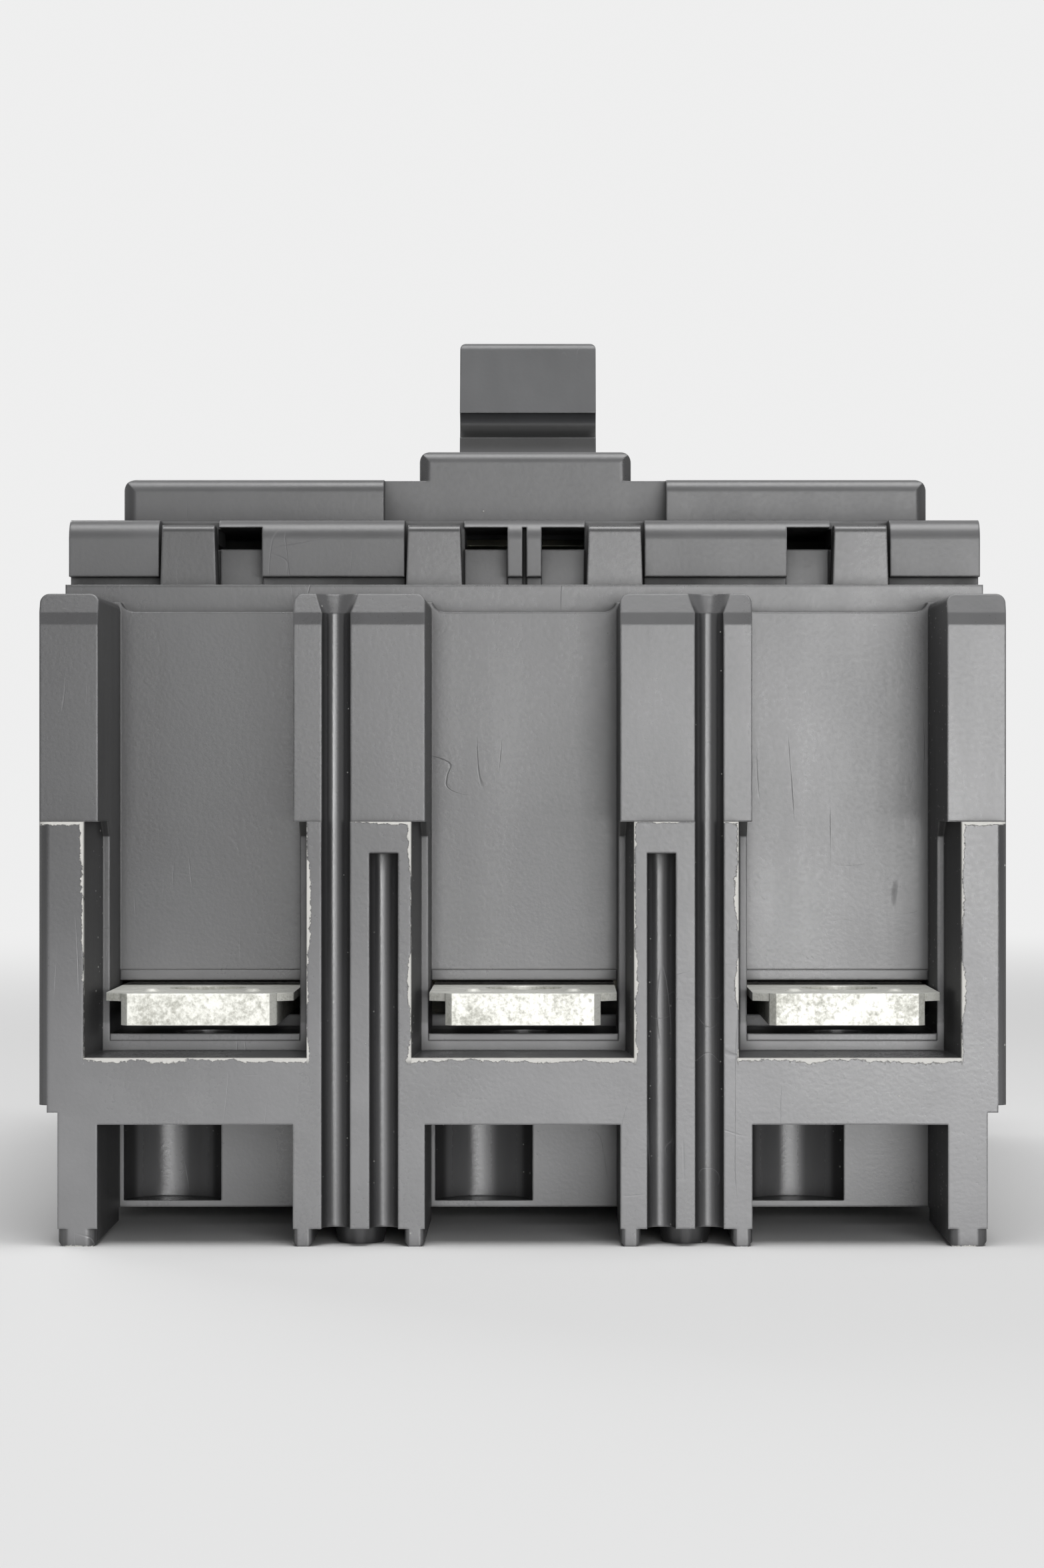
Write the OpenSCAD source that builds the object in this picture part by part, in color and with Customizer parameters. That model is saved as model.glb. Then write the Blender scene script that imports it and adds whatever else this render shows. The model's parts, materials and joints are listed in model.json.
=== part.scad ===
// Three-pole molded case circuit breaker, lying on its back.
// Millimetres. X runs across the poles, -Y is the line end, +Z is the side the handle is on.
// The origin is the middle of the footprint, on the surface the feet stand on.
// The handle is drawn in its OFF position, with the contacts open.

/* [Housing] */
// Width across the three poles
body_w = 105; // [103:0.5:112]
// Length from the line end face to the load end face
body_l = 160; // [158:1:176]
// How far the outer poles' outer halves fall short of half a pitch
side_trim = 0.75; // [0:0.05:1.5]
// Height of the joint between base and cover
seam_z = 72.9; // [72:0.1:76]
// Height of the end blocks that stand between the wells
block_z = 70.8; // [69:0.1:71.5]
// Height of the scuffed step across the end faces
lip_z = 46; // [42:0.5:50]
// How far the end face above the step is set back
lip_step = 0.8; // [0.4:0.1:1.5]
// Height up to which the long sides are set in
skirt_z = 14.9; // [10:0.1:18]
// How far the long sides are set in below that height
skirt_in = 2.1; // [1:0.1:2.5]
// Rounding of the upright corners
corner_r = 1.2; // [0.5:0.1:2]
// Height of the two-step chamfer along the top front edge of the end blocks
block_chamfer = 3.4; // [2:0.1:4]
// Rounding of the walls' tops beside the wells
wall_top_r = 1; // [0.5:0.1:1.4]

/* [Wells] */
// Depth of the terminal wells, from the end face
well_d = 23.7; // [22:0.1:25]
// Clear width of a well above the step
well_w = 21.2; // [20.8:0.1:21.6]
// Width of a well's mouth below the step
mouth_w = 24.2; // [23:0.1:25]
// Depth at which the widened mouth ends
mouth_d = 13; // [10:0.5:16]
// Width of the widened mouth where it ends
mouth_back_w = 22.8; // [21.8:0.1:23]
// Height of the tray floor at the mouth of a well
tray_z = 20.4; // [18:0.1:21]
// Height of the well floor behind the riser
well_floor_z = 22.3; // [21.5:0.1:23]
// Top of the window in the back wall that the terminal passes
window_z = 28.9; // [28.2:0.1:31]
// Height of the recessed step along the top of a well's back wall
well_top_z = 69.7; // [66:0.1:70]
// Depth of that recessed step
well_top_step = 1.6; // [0.5:0.1:2]
// Radius of the pocket that takes the end of a terminal screw
pocket_r = 3.4; // [3:0.1:3.8]
// Depth of that pocket below the well floor
pocket_d = 5; // [3:0.5:6]

/* [Underside] */
// Height of the feet
foot_h = 1.9; // [1:0.1:3]
// Height of the notch under each well
notch_h = 13.2; // [10:0.1:15]
// Radius of the half-round recess in the far wall of a notch
recess_r = 5.55; // [3:0.05:6]
// Distance of that recess from the middle of its pole
recess_x = 4.6; // [3:0.1:5]
// Height at which the recess starts
recess_z = 2.65; // [2:0.05:4]
// Width of the outer feet
side_foot_w = 4.3; // [3:0.1:5]
// Width of the narrow feet under the partitions
tip_foot_w = 2.2; // [1.5:0.1:3]
// Width of the round pad under the middle of a partition
pad_foot_w = 6.2; // [4:0.1:7]
// How far the round pad stands back from the end face
pad_foot_in = 2.3; // [1:0.1:4]

/* [Partition grooves] */
// Width of the round-bottomed grooves in the partition faces
groove_w = 3.1; // [2:0.1:4]
// Depth of the grooves
groove_d = 2.4; // [1.6:0.1:3]
// Distance of the full-height grooves outward from the middle of a partition
long_groove_out = 2.5; // [2:0.05:3]
// Distance of the short grooves inward from the middle of a partition
short_groove_in = 2.7; // [2.2:0.05:3]
// Height at which the short groove ends
short_groove_z = 42.6; // [35:0.1:44]
// How far the full-height grooves flare at the top
groove_flare = 1.1; // [0.5:0.1:1.4]

/* [Chambers] */
// Thickness of the outer walls
wall = 3; // [2.5:0.1:3.5]
// Thickness of the walls between the poles
pole_wall = 4.5; // [4:0.1:5]
// Floor height below the contact arms
pit_z = 12; // [8:0.5:16]
// Floor height under the trip unit
unit_floor_z = 20.4; // [19:0.1:21]
// Height of the seats that the terminal straps lie on
seat_z = 23.7; // [23.2:0.1:24.5]
// Distance from the middle to the line strap seat
line_seat_y = 22; // [20:0.5:24]
// Distance from the middle to the trip unit floor
unit_floor_y = 24; // [22:0.5:26]
// Distance from the middle to the load strap seat
load_seat_y = 47; // [46.8:0.1:47.6]

/* [Base tabs] */
// Width of the tabs that rise between the cover's end rolls
tab_w = 6; // [5:0.1:6.2]
// Extra width at the root of a tab
tab_taper = 0.5; // [0:0.1:0.8]
// Height of the tab tops
tab_z = 79.9; // [78:0.1:80.4]
// Distance of the inner tabs from the middle
inner_tab_x = 10.4; // [10:0.05:10.8]
// Distance of the outer tabs from the middle
outer_tab_x = 38.7; // [38.3:0.05:39]
// How far the tabs stand proud of the cover's end face
tab_proud = 0.6; // [0:0.1:1]
// Thickness of a tab along the breaker
tab_t = 4.6; // [3:0.1:5]

/* [Cover] */
// Distance of the cover's ends from the end faces
cover_in = 28.7; // [28:0.1:30]
// Height of the cover's ledge
ledge_z = 80.6; // [79.8:0.1:82]
// Height of the underside of the end rolls
roll_z = 74; // [73.5:0.1:75]
// How far the rolls overhang the joint
roll_over = 2; // [1:0.1:3]
// Rounding of the rolls' top edge
roll_r = 2.3; // [1:0.1:3]
// Width of the slots for the base tabs
tab_slot_w = 6.9; // [6.6:0.1:7.2]
// Width of the raised platform
platform_w = 94.4; // [92:0.2:98]
// Length of the raised platform
platform_l = 84; // [82:0.5:88]
// Height of the raised platform
platform_z = 85.9; // [85:0.1:87]
// Width of the platform's middle section
middle_w = 33.2; // [31:0.2:36]
// Rounding of the platform's edges
platform_r = 1.5; // [0.5:0.1:2]
// Width of the raised surround of the handle
surround_w = 25; // [24:0.2:28]
// Length of the raised surround
surround_l = 78; // [76:0.5:80]
// Height of the raised surround
surround_z = 89.4; // [88.6:0.1:91]
// Length of the slot for the handle
slot_l = 40; // [39:0.5:44]
// Thickness of the cover's roof
roof = 2.6; // [2:0.1:3]
// Width of the slit between the two middle ribs
slit_w = 0.5; // [0.3:0.1:1]
// Width of the middle ribs
rib_w = 1.7; // [1:0.1:2]
// Height of the gas vents
vent_h = 2.4; // [1.5:0.1:2.6]
// Width of the outer gas vents
outer_vent_w = 5; // [4:0.1:5]
// Depth of the recess in front of the vents
vent_recess = 3.2; // [2:0.1:4]

/* [Handle] */
// Width of the handle
handle_w = 17.7; // [16:0.1:18.2]
// Thickness of the handle's grip
grip_t = 10.4; // [8:0.2:12]
// Height of the grip above its undercut
grip_h = 10.6; // [8:0.2:13]
// Thickness of the handle's neck
neck_t = 8.4; // [6:0.2:9]
// Radius of the undercut below the grip
undercut_r = 1.6; // [1:0.1:1.8]
// Rounding of the grip's edges
grip_r = 1.2; // [0.5:0.1:2]
// Distance from the handle's axis to its top
handle_r = 67.2; // [62:0.2:72]
// Lean of the handle at OFF
handle_lean = 16; // [12:0.5:17]
// Outer radius of the shield that closes the slot
shield_r = 44.4; // [43.6:0.1:44.6]
// Thickness of the shield
shield_t = 1.6; // [1:0.1:2]
// Half angle of the shield
shield_a = 43; // [40:0.5:43]
// Width of the shield
shield_w = 20; // [19:0.1:20.6]
// Position of the handle's axis along the breaker
handle_y = 0; // [-0.5:0.1:0.5]
// Height of the handle's axis
handle_z = 42; // [41.7:0.1:42.2]

/* [Terminals] */
// Width of the terminal straps
strap_w = 17.05; // [15:0.05:18]
// Thickness of the terminal straps
strap_t = 2.6; // [2:0.1:2.8]
// Distance of a strap's front edge from the end face
strap_in = 5; // [4.5:0.1:6]
// Radius of the tapped hole in a strap
strap_hole_r = 2.65; // [2:0.05:3.2]
// Distance of the tapped hole from the end face
strap_hole_d = 17; // [15:0.5:18]
// Width of the retainer plate's wings
plate_w = 20.6; // [19.5:0.1:20.8]
// Thickness of the retainer plate
plate_t = 0.9; // [0.7:0.05:1]
// Width of the retainer plate's folded tab
plate_tab_w = 17; // [15:0.1:18]
// Depth at which the plate's wings start
plate_wing_d = 6.4; // [6.2:0.1:8]
// Distance of the retainer plate's back edge from the end face
plate_back_d = 39; // [34:0.5:40]
// Distance of the load side plate's back edge from the end face
load_plate_back_d = 28.4; // [27.5:0.1:28.8]
// Radius of the retainer plate's hole
plate_hole_r = 4.3; // [3.4:0.1:5]
// Radius of the dimples that grip the strap
dimple_r = 1; // [0.6:0.1:1.4]
// Distance of the dimples from the middle of the plate
dimple_x = 5.6; // [4.5:0.1:6.5]
// Distance of the dimples from the end face
dimple_d = 9.2; // [8.5:0.1:10.5]
// Inner end of the line strap, from the middle of the breaker
line_strap_end = 23.4; // [23:0.1:24.5]

/* [Contacts] */
// Position of the crossbar's axis along the breaker
bar_y = 2; // [1.8:0.1:2.2]
// Height of the crossbar's axis
bar_z = 33.5; // [33.3:0.1:33.7]
// Radius of the crossbar
bar_r = 5; // [4.6:0.1:5.1]
// Width of the crossbar's hubs
hub_w = 13.2; // [12.6:0.1:13.6]
// Width of a contact arm
arm_w = 5.4; // [4:0.1:5.6]
// Thickness of a contact arm
arm_t = 3.9; // [3:0.1:4.2]
// Length of a contact arm from the axis to its tip
arm_l = 33; // [31:0.1:33.4]
// Length of a contact arm behind the axis
arm_tail = 8; // [7.6:0.1:8.4]
// Angle the arms swing through between ON and OFF
arm_swing = 28; // [27:0.2:28.4]
// Length of a contact pad
pad_l = 6; // [4:0.2:7]
// Width of a contact pad
pad_w = 7; // [5:0.2:8]
// Thickness of a contact pad
pad_t = 2; // [1.5:0.1:2.2]
// Thickness of the flexible braids
braid_t = 1.6; // [1:0.1:2]
// Width of the flexible braids
braid_w = 5; // [4:0.2:5.4]
// How far the braids hang below the end of the arms
braid_sag = 6.4; // [5.8:0.1:6.6]
// How far the braids' bend reaches behind the arms
braid_reach = 6.6; // [6:0.1:6.8]

/* [Arc chutes] */
// Gap between the arc chutes and the outer walls
chute_gap = 0.8; // [0.6:0.1:1.3]
// Thickness of the fibre sides
fibre_t = 1.2; // [0.8:0.1:1.4]
// Height of the chute's top
chute_z = 60.5; // [58:0.5:61.5]
// Clearance in front of the fibre sides, at the chamber's end
chute_clear = 2.3; // [1.3:0.1:3.3]
// Back edge of the fibre sides, from the middle of the breaker
chute_back = 24; // [23:0.2:25]
// Thickness of the steel plates
splitter_t = 1.2; // [0.8:0.1:1.5]
// Distance from one steel plate to the next
splitter_pitch = 3.3; // [2.6:0.1:4]
// Height of the lowest steel plate
splitter_z = 31.5; // [31:0.1:33]
// Number of steel plates in a chute
splitters = 9; // [6:1:9]
// Half width of the throat that the arm swings in
throat_half_w = 4.6; // [4:0.1:6]
// Distance of the throat's bottom from the middle of the breaker
throat_y = 36.5; // [35:0.5:40]

/* [Mechanism] */
// Half width between the mechanism's side frames
frame_half_w = 10.4; // [10.4:0.1:11]
// Thickness of the side frames
frame_t = 1.6; // [1.2:0.1:1.8]
// Front edge of the side frames
frame_front = -19; // [-20.5:0.5:-18.5]
// Rear edge of the side frames
frame_rear = 23.5; // [22:0.5:24]
// Height of the side frames
frame_z = 62; // [61.8:0.1:63]
// Length of the frames' feet across the breaker
frame_foot = 3.2; // [2.5:0.1:3.4]
// Length of the frames' raised top
frame_top_l = 16; // [14:0.5:17]
// Rounding of the raised top's front corner
frame_top_r = 5; // [4:0.5:5]
// Thickness of the handle yoke's legs
yoke_t = 1.6; // [1.2:0.1:1.8]
// Width of the yoke's legs
yoke_leg_w = 6.4; // [5:0.2:7]
// Radius of the spring anchor, from the handle's axis
anchor_r = 36; // [35:0.2:36.6]
// Radius of the mechanism's pins
pin_r = 1.5; // [1.2:0.05:1.6]
// Position of the cradle's pivot along the breaker
cradle_y = -14; // [-14.4:0.1:-13.6]
// Height of the cradle's pivot
cradle_z = 57; // [56.6:0.1:57.4]
// Thickness of the cradle
cradle_t = 2.4; // [2:0.1:2.4]
// Position of the cradle's link pin along the breaker
link_pin_y = 0; // [-0.2:0.1:0.2]
// Height of the cradle's link pin
link_pin_z = 60; // [59.8:0.1:60.2]
// Position of the cradle's latch tip along the breaker
latch_y = 22.3; // [22:0.1:22.5]
// Height of the cradle's latch tip
latch_z = 56; // [55.8:0.1:56.2]
// Thickness of the links
link_t = 1.4; // [1:0.1:1.4]
// Half width of the links
link_r = 2.6; // [2.3:0.1:2.8]
// Distance of the crossbar's link pin in front of its axis, at ON
foot_pin_y = 12; // [11.8:0.1:12.2]
// Height of the crossbar's link pin above its axis, at ON
foot_pin_z = 2.5; // [2.4:0.1:2.7]
// Spare length of the two links when the toggle is straight
toggle_slack = 0.5; // [0.4:0.05:0.6]
// Share of the toggle's length that the upper link has
upper_share = 0.55; // [0.53:0.01:0.56]
// Radius of the operating springs' coils
spring_r = 1.55; // [1.2:0.05:1.6]
// Radius of the operating springs' wire
spring_wire_r = 0.35; // [0.25:0.05:0.35]
// Turns of each operating spring
spring_turns = 12; // [6:1:16]
// Radius of the pin that the operating springs hang from
anchor_pin_r = 1.2; // [1:0.05:1.3]
// Distance of the yoke's bridge beyond that pin
bridge_over = 4.8; // [4.4:0.1:5.2]
// Radius of the spacer between the side frames
spacer_r = 2; // [1.5:0.1:2.2]
// Height of the spacer
spacer_z = 42; // [38:0.5:44]
// Distance of the spacer from the frames' rear edge
spacer_in = 5; // [3:0.5:5.5]
// Length of the frames' feet along the breaker
foot_l = 8; // [6:0.5:9]

/* [Trip unit] */
// Position of the trip bar's axis along the breaker
trip_y = 30; // [29.8:0.1:30.2]
// Height of the trip bar's axis
trip_z = 48; // [47.8:0.1:48.2]
// Radius of the trip bar
trip_r = 2.6; // [2.2:0.1:2.7]
// Overlap of the trip bar's latch with the cradle's tip
latch_bite = 0.5; // [0.3:0.05:0.6]
// Thickness of the bimetals
bimetal_t = 1.2; // [0.8:0.1:1.4]
// Width of the bimetals and heaters
heater_w = 11; // [9:0.2:12]
// Thickness of the heaters and the load strap's upright leg
heater_t = 2.6; // [2:0.1:2.8]
// Position of the heater's upright leg
heater_y = 44; // [43.6:0.1:44.2]
// Height of the heater's and bimetal's fixed end
heater_top = 62; // [60.5:0.1:62]
// Thickness of the magnets' steel
magnet_t = 1.8; // [1.4:0.1:2]
// Half width inside the magnets
magnet_half_w = 8.6; // [8:0.1:9]
// Height of the magnets' lower edge
magnet_z = 46; // [44.5:0.5:46.5]
// Height of the magnets' pole faces
pole_face_z = 57.5; // [56.5:0.1:57.8]
// Thickness of the armatures
armature_t = 1.4; // [1:0.1:1.6]
// Rest gap between armature and magnet
armature_gap = 1.5; // [1.2:0.1:1.8]
// Height of the armatures' pivots
armature_z = 48.8; // [48.4:0.1:49.2]
// How far the armatures reach below their pivots
armature_drop = 6.6; // [6:0.1:6.8]
// Height of the armatures' shoulders above their pivots
armature_rise = 2.4; // [2.3:0.1:2.8]
// Distance of the armatures' tails from the trip bar's axis
armature_tail_y = 6.5; // [6.4:0.1:7]
// Radius of the calibration screws
cal_screw_r = 1.3; // [1:0.05:1.5]
// Radius of the rivets through the trip unit
rivet_r = 1.5; // [1.2:0.05:1.8]
// Distance of the rivets below the heaters' top
rivet_in = 2.4; // [2:0.1:2.6]
// Height of the calibration screws
cal_screw_z = 38.5; // [38.2:0.1:40]
// Height of the bimetals' free end
bimetal_z = 36; // [35:0.5:36.5]
// Distance of the armatures' pivots in front of the bimetals
armature_ahead = 3.1; // [3:0.1:3.3]
// Length of the padding between heater and bimetal
pad_y = 0.8; // [0.6:0.1:1]

/* [Trip button] */
// Radius of the trip button's head
button_r = 3; // [2.4:0.1:3.2]
// Radius of the flange that stops the trip button
button_flange_r = 3.8; // [3.5:0.1:4]
// Position of the trip button across the breaker
button_x = -23.5; // [-23.6:0.1:-23.4]
// Distance of the trip button from the trip bar's axis
button_lever = 6; // [5.8:0.1:6.2]
// Radius of the trip button's stem
button_stem_r = 1.5; // [1.2:0.05:1.6]
// How far the button stands above the platform
button_proud = 0.6; // [0:0.1:1]
// Travel of the trip button
button_travel = 1.8; // [1.2:0.1:1.8]
// Height of the ledge that guides the button's stem
guide_z = 65; // [63.5:0.5:67]

/* [Fasteners] */
// Radius of the holes that mount the breaker
mount_hole_r = 2.3; // [2:0.05:2.6]
// Radius of the counterbores over those holes
mount_head_r = 4.4; // [4:0.1:4.6]
// Depth of the counterbores
mount_head_d = 9; // [4:0.5:20]
// Distance between the mounting holes along the breaker
mount_pitch_y = 128; // [124:0.5:130]
// Radius of the cover screws
cover_screw_r = 1.8; // [1.5:0.05:2]
// Radius of the cover screws' heads
cover_head_r = 2.9; // [2.4:0.1:3]
// Distance of the cover screws from the cover's ends
cover_screw_in = 5.7; // [5.5:0.1:5.9]
// Radius of the screws that hold the conductors
conductor_screw_r = 1.5; // [1.2:0.05:1.6]
// Radius of their heads
conductor_head_r = 2.8; // [2.4:0.1:2.9]
// Length of their shanks
conductor_screw_l = 12; // [8:0.5:14]
// Distance of the line side ones from the strap's inner end
line_screw_in = 13.4; // [12.8:0.2:14]
// Position of the trip unit's ones along the breaker
heater_screw_y = 33; // [32:0.5:34]
// Radius of the screws that hold the mechanism's frames
frame_screw_r = 1.1; // [1:0.05:1.2]
// Length of those screws
frame_screw_l = 8; // [6:0.5:9]
// Length of the cover screws below the joint
cover_screw_l = 22; // [16:1:28]

/* [Clearances] */
// Radial clearance of pins and shafts that turn
run_gap = 0.08; // [0.05:0.01:0.1]
// Clearance between parts that slide past each other
slide_gap = 0.2; // [0.15:0.05:0.25]
// Clearance of the toggle's open pivot, across the link
hook_gap = 0.2; // [0.15:0.05:0.3]
// Clearance of the toggle's open pivot, along the link
hook_play = 1.05; // [1:0.05:1.1]
// Gap left between closed contacts and at the latch
touch_gap = 0.1; // [0.08:0.01:0.15]

/* [Hidden] */
$fn = 48;
eps = 0.01;
big = 400;
front = -body_l / 2;
pole_pitch = (body_w + 2 * side_trim) / 3;
cover_l = body_l - 2 * cover_in;
well_back = front + well_d;
chamber_end = body_l / 2 - well_d - wall;
chamber_half_w = (pole_pitch - pole_wall) / 2;
outer_half_w = body_w / 2 - wall - pole_pitch;
seam_edge = cover_l / 2 - roll_over;
partition_x = pole_pitch / 2;
mount_y = mount_pitch_y / 2;
cover_screw_y = cover_l / 2 - cover_screw_in;
long_groove_x = partition_x + long_groove_out;
short_groove_x = partition_x - short_groove_in;
chute_half_w = outer_half_w - fibre_t - chute_gap;
chute_front = chamber_end - chute_clear;
boss_r = cover_screw_r + 1.8;
strap_front = front + strap_in;
strap_top = seat_z + strap_t;
plate_top = strap_top + plate_t;
slot_w = shield_w - 1.5;
cavity_w = shield_w + 1;
load_leg_y = load_seat_y + 1;
button_y = trip_y + button_lever;
spring_x = frame_half_w - yoke_t - slide_gap - spring_r - spring_wire_r - slide_gap - 0.1;
yoke_x = frame_half_w - slide_gap;
bridge_z = anchor_r + bridge_over;
link_x = cradle_t / 2 + slide_gap;
low_link_x = link_x + link_t + slide_gap;
ear_x = low_link_x + link_t + slide_gap;
moulding = "#2b2b2d";
cover_colour = "#303032";
handle_colour = "#3a3a3c";
tin = "#d6d5cc";
copper = "#b87a55";
silver = "#dadada";
steel = "#9a9da1";
zinc = "#b9b6a4";
fibre = "#7c4a3a";
braid_colour = "#b5704a";

// Turns a point of the YZ plane about another, anticlockwise seen from +X.
function turned(p, c, a) = [
    c[0] + (p[0] - c[0]) * cos(a) - (p[1] - c[1]) * sin(a),
    c[1] + (p[0] - c[0]) * sin(a) + (p[1] - c[1]) * cos(a)
];
function heading(v) = atan2(v[1], v[0]);
// Where two links of lengths a and b, from p and q, meet on the load side.
function knee_of(p, q, a, b) =
    let (d = norm(p - q), e = (p - q) / d, s = (b * b - a * a + d * d) / (2 * d))
    q + e * s + [e[1], -e[0]] * sqrt(max(0, b * b - s * s));

bar_axis = [bar_y, bar_z];
handle_axis = [handle_y, handle_z];
cradle_axis = [cradle_y, cradle_z];
trip_axis = [trip_y, trip_z];
link_pin = [link_pin_y, link_pin_z];
foot_pin_on = bar_axis + [-foot_pin_y, foot_pin_z];
foot_pin = turned(foot_pin_on, bar_axis, -arm_swing);
toggle_l = norm(link_pin - foot_pin_on) + toggle_slack;
upper_l = toggle_l * upper_share;
lower_l = toggle_l - upper_l;
knee = knee_of(link_pin, foot_pin, upper_l, lower_l);
anchor = handle_axis + anchor_r * [sin(handle_lean), cos(handle_lean)];
armature_axis = [heater_y - bimetal_t - armature_ahead, armature_z];
spacer = [frame_rear - spacer_in, spacer_z];
rivet_z = heater_top - rivet_in;
bimetal_y = heater_y - pad_y;
magnet_y = load_leg_y + heater_t + 0.4;

// Extrudes a YZ outline along X.
module along_x(x0, x1) {
    translate([x0, 0, 0]) rotate([90, 0, 90]) linear_extrude(height = x1 - x0) children();
}
// Extrudes an XZ outline along Y.
module along_y(y0, y1) {
    translate([0, y1, 0]) rotate([90, 0, 0]) linear_extrude(height = y1 - y0) children();
}
// Extrudes an XY outline along Z.
module along_z(z0, z1) {
    translate([0, 0, z0]) linear_extrude(height = z1 - z0) children();
}
// A solid block between two corners.
module block(a, b) {
    translate(a) cube(b - a);
}
// A round bar along X through a YZ point.
module rod_x(p, r, x0, x1) {
    translate([x0, p[0], p[1]]) rotate([0, 90, 0]) cylinder(r = r, h = x1 - x0);
}
module rod_y(x, z, r, y0, y1) {
    translate([x, y1, z]) rotate([90, 0, 0]) cylinder(r = r, h = y1 - y0);
}
module rod_z(x, y, r, z0, z1) {
    translate([x, y, z0]) cylinder(r = r, h = z1 - z0);
}
// A screw's shank, hanging below its head.
module shank(r, l) {
    translate([0, 0, -l]) cylinder(r = r, h = l);
}
module both_ends() {
    for (m = [0, 1]) mirror([0, m, 0]) children();
}
module both_sides() {
    for (m = [0, 1]) mirror([m, 0, 0]) children();
}
module each_pole() {
    for (i = [-1:1]) translate([i * pole_pitch, 0, 0]) children();
}
module at_pole(i) {
    translate([(i - 2) * pole_pitch, 0, 0]) children();
}
// Turns solids about an X-wise axis through a YZ point.
module turn_about(p, a) {
    translate([0, p[0], p[1]]) rotate([a, 0, 0]) translate([0, -p[0], -p[1]]) children();
}
// A rectangle with round corners, centred.
module round_rect(w, l, r) {
    square([w - 2 * r, l], center = true);
    square([w, l - 2 * r], center = true);
    for (x = [-1, 1], y = [-1, 1]) translate([x * (w / 2 - r), y * (l / 2 - r)]) circle(r);
}
// A rectangle standing on its base line with the two top corners round.
module arch_rect(w, h, r) {
    translate([-w / 2, 0]) square([w, h - r]);
    translate([r - w / 2, 0]) square([w - 2 * r, h]);
    for (x = [-1, 1]) translate([x * (w / 2 - r), h - r]) circle(r);
}
// A bar with round ends from one point of the plane to another. Its flanks
// are a hair narrower than the ends, so that they cross the circles cleanly.
module capsule(p, q, r) {
    flank = r * 0.97;
    translate(p) circle(r);
    translate(q) circle(r);
    translate(p) rotate(heading(q - p)) translate([0, -flank]) square([norm(q - p), 2 * flank]);
}
// A box with rounded upright corners and rounded top edges.
module soft_box(w, l, z0, z1, r) {
    intersection() {
        along_z(z0, z1) round_rect(w, l, r);
        along_y(-l / 2, l / 2) translate([0, z0]) arch_rect(w, z1 - z0, r);
        along_x(-w / 2, w / 2) translate([0, z0]) arch_rect(l, z1 - z0, r);
    }
}

// Base moulding

module base_side_outline() {
    polygon([
        [front, foot_h], [front, lip_z], [front + lip_step, lip_z],
        [front + lip_step, block_z - block_chamfer],
        [front + lip_step + block_chamfer * 0.08, block_z - block_chamfer * 0.62],
        [front + lip_step + block_chamfer * 0.42, block_z],
        [well_back + well_top_step, block_z], [well_back + well_top_step, seam_z],
        [-well_back - well_top_step, seam_z], [-well_back - well_top_step, block_z],
        [-front - lip_step - block_chamfer * 0.42, block_z],
        [-front - lip_step - block_chamfer * 0.08, block_z - block_chamfer * 0.62],
        [-front - lip_step, block_z - block_chamfer],
        [-front - lip_step, lip_z], [-front, lip_z], [-front, foot_h]
    ]);
}

// The set-in strip along the long sides, in two small steps.
module skirt_cut() {
    both_sides() {
        block([body_w / 2 - skirt_in, -big, -1], [big, big, skirt_z - 0.4]);
        block([body_w / 2 - skirt_in * 0.45, -big, -1], [big, big, skirt_z + 0.4]);
    }
}

// What is cut off beside an edge, at x, to round the top of the wall right of it.
module top_rounding(x) {
    along_y(front - 1, well_back) difference() {
        translate([x - 1, block_z - wall_top_r]) square([wall_top_r + 1, wall_top_r + 1]);
        translate([x + wall_top_r, block_z - wall_top_r]) circle(wall_top_r);
    }
}

module terminal_well() {
    block([-well_w / 2, front - 1, lip_z - eps], [well_w / 2, well_back, seam_z + 1]);
    both_sides() top_rounding(well_w / 2);
    along_x(-well_w / 2, well_w / 2) polygon([
        [front + mouth_d - 1, well_floor_z - 0.8], [front + mouth_d, well_floor_z - 0.8],
        [front + mouth_d + 0.8, well_floor_z], [front + mouth_d - 1, well_floor_z]
    ]);
    block([-well_w / 2, front - 1, well_floor_z], [well_w / 2, well_back, lip_z]);
    intersection() {
        along_z(tray_z, lip_z + eps) polygon([
            [-mouth_w / 2, front - eps], [mouth_w / 2, front - eps],
            [mouth_back_w / 2, front + mouth_d], [-mouth_back_w / 2, front + mouth_d]
        ]);
        along_x(-mouth_w, mouth_w) polygon([
            [front - 1, 0], [front + mouth_d, 0], [front + mouth_d, lip_z - 1.7],
            [front + mouth_d - 1.7, lip_z], [front - 1, lip_z]
        ]);
    }
    block([-well_w / 2, well_back - 1, well_floor_z], [well_w / 2, well_back + wall, window_z]);
    block([-well_w / 2, well_back - 1, seat_z], [well_w / 2, well_back + wall + 1, window_z]);
    rod_z(0, front + strap_hole_d, pocket_r, well_floor_z - pocket_d, well_floor_z + 1);
    along_y(well_back - 1, well_back + well_top_step)
        translate([0, well_top_z]) mirror([0, 1]) translate([0, -10])
            arch_rect(well_w, 10, well_top_step);
}

module bottom_notch() {
    block([-well_w / 2, front - 1, -1], [well_w / 2, well_back, notch_h]);
    rod_z(-recess_x, well_back, recess_r, recess_z, notch_h);
}

// One round-bottomed groove.
module partition_groove(x, z_top) {
    r = groove_w / 2;
    block([x - r, front - 1, -1], [x + r, front + groove_d - r, z_top]);
    rod_z(x, front + groove_d - r, r, -1, z_top);
}

// The flared upper end of a full-height groove.
module groove_mouth() {
    r = groove_w / 2;
    translate([long_groove_x, front + groove_d - r, block_z - 2.4])
        cylinder(r1 = r * 0.9, r2 = r + groove_flare, h = 2.4);
}

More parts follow.
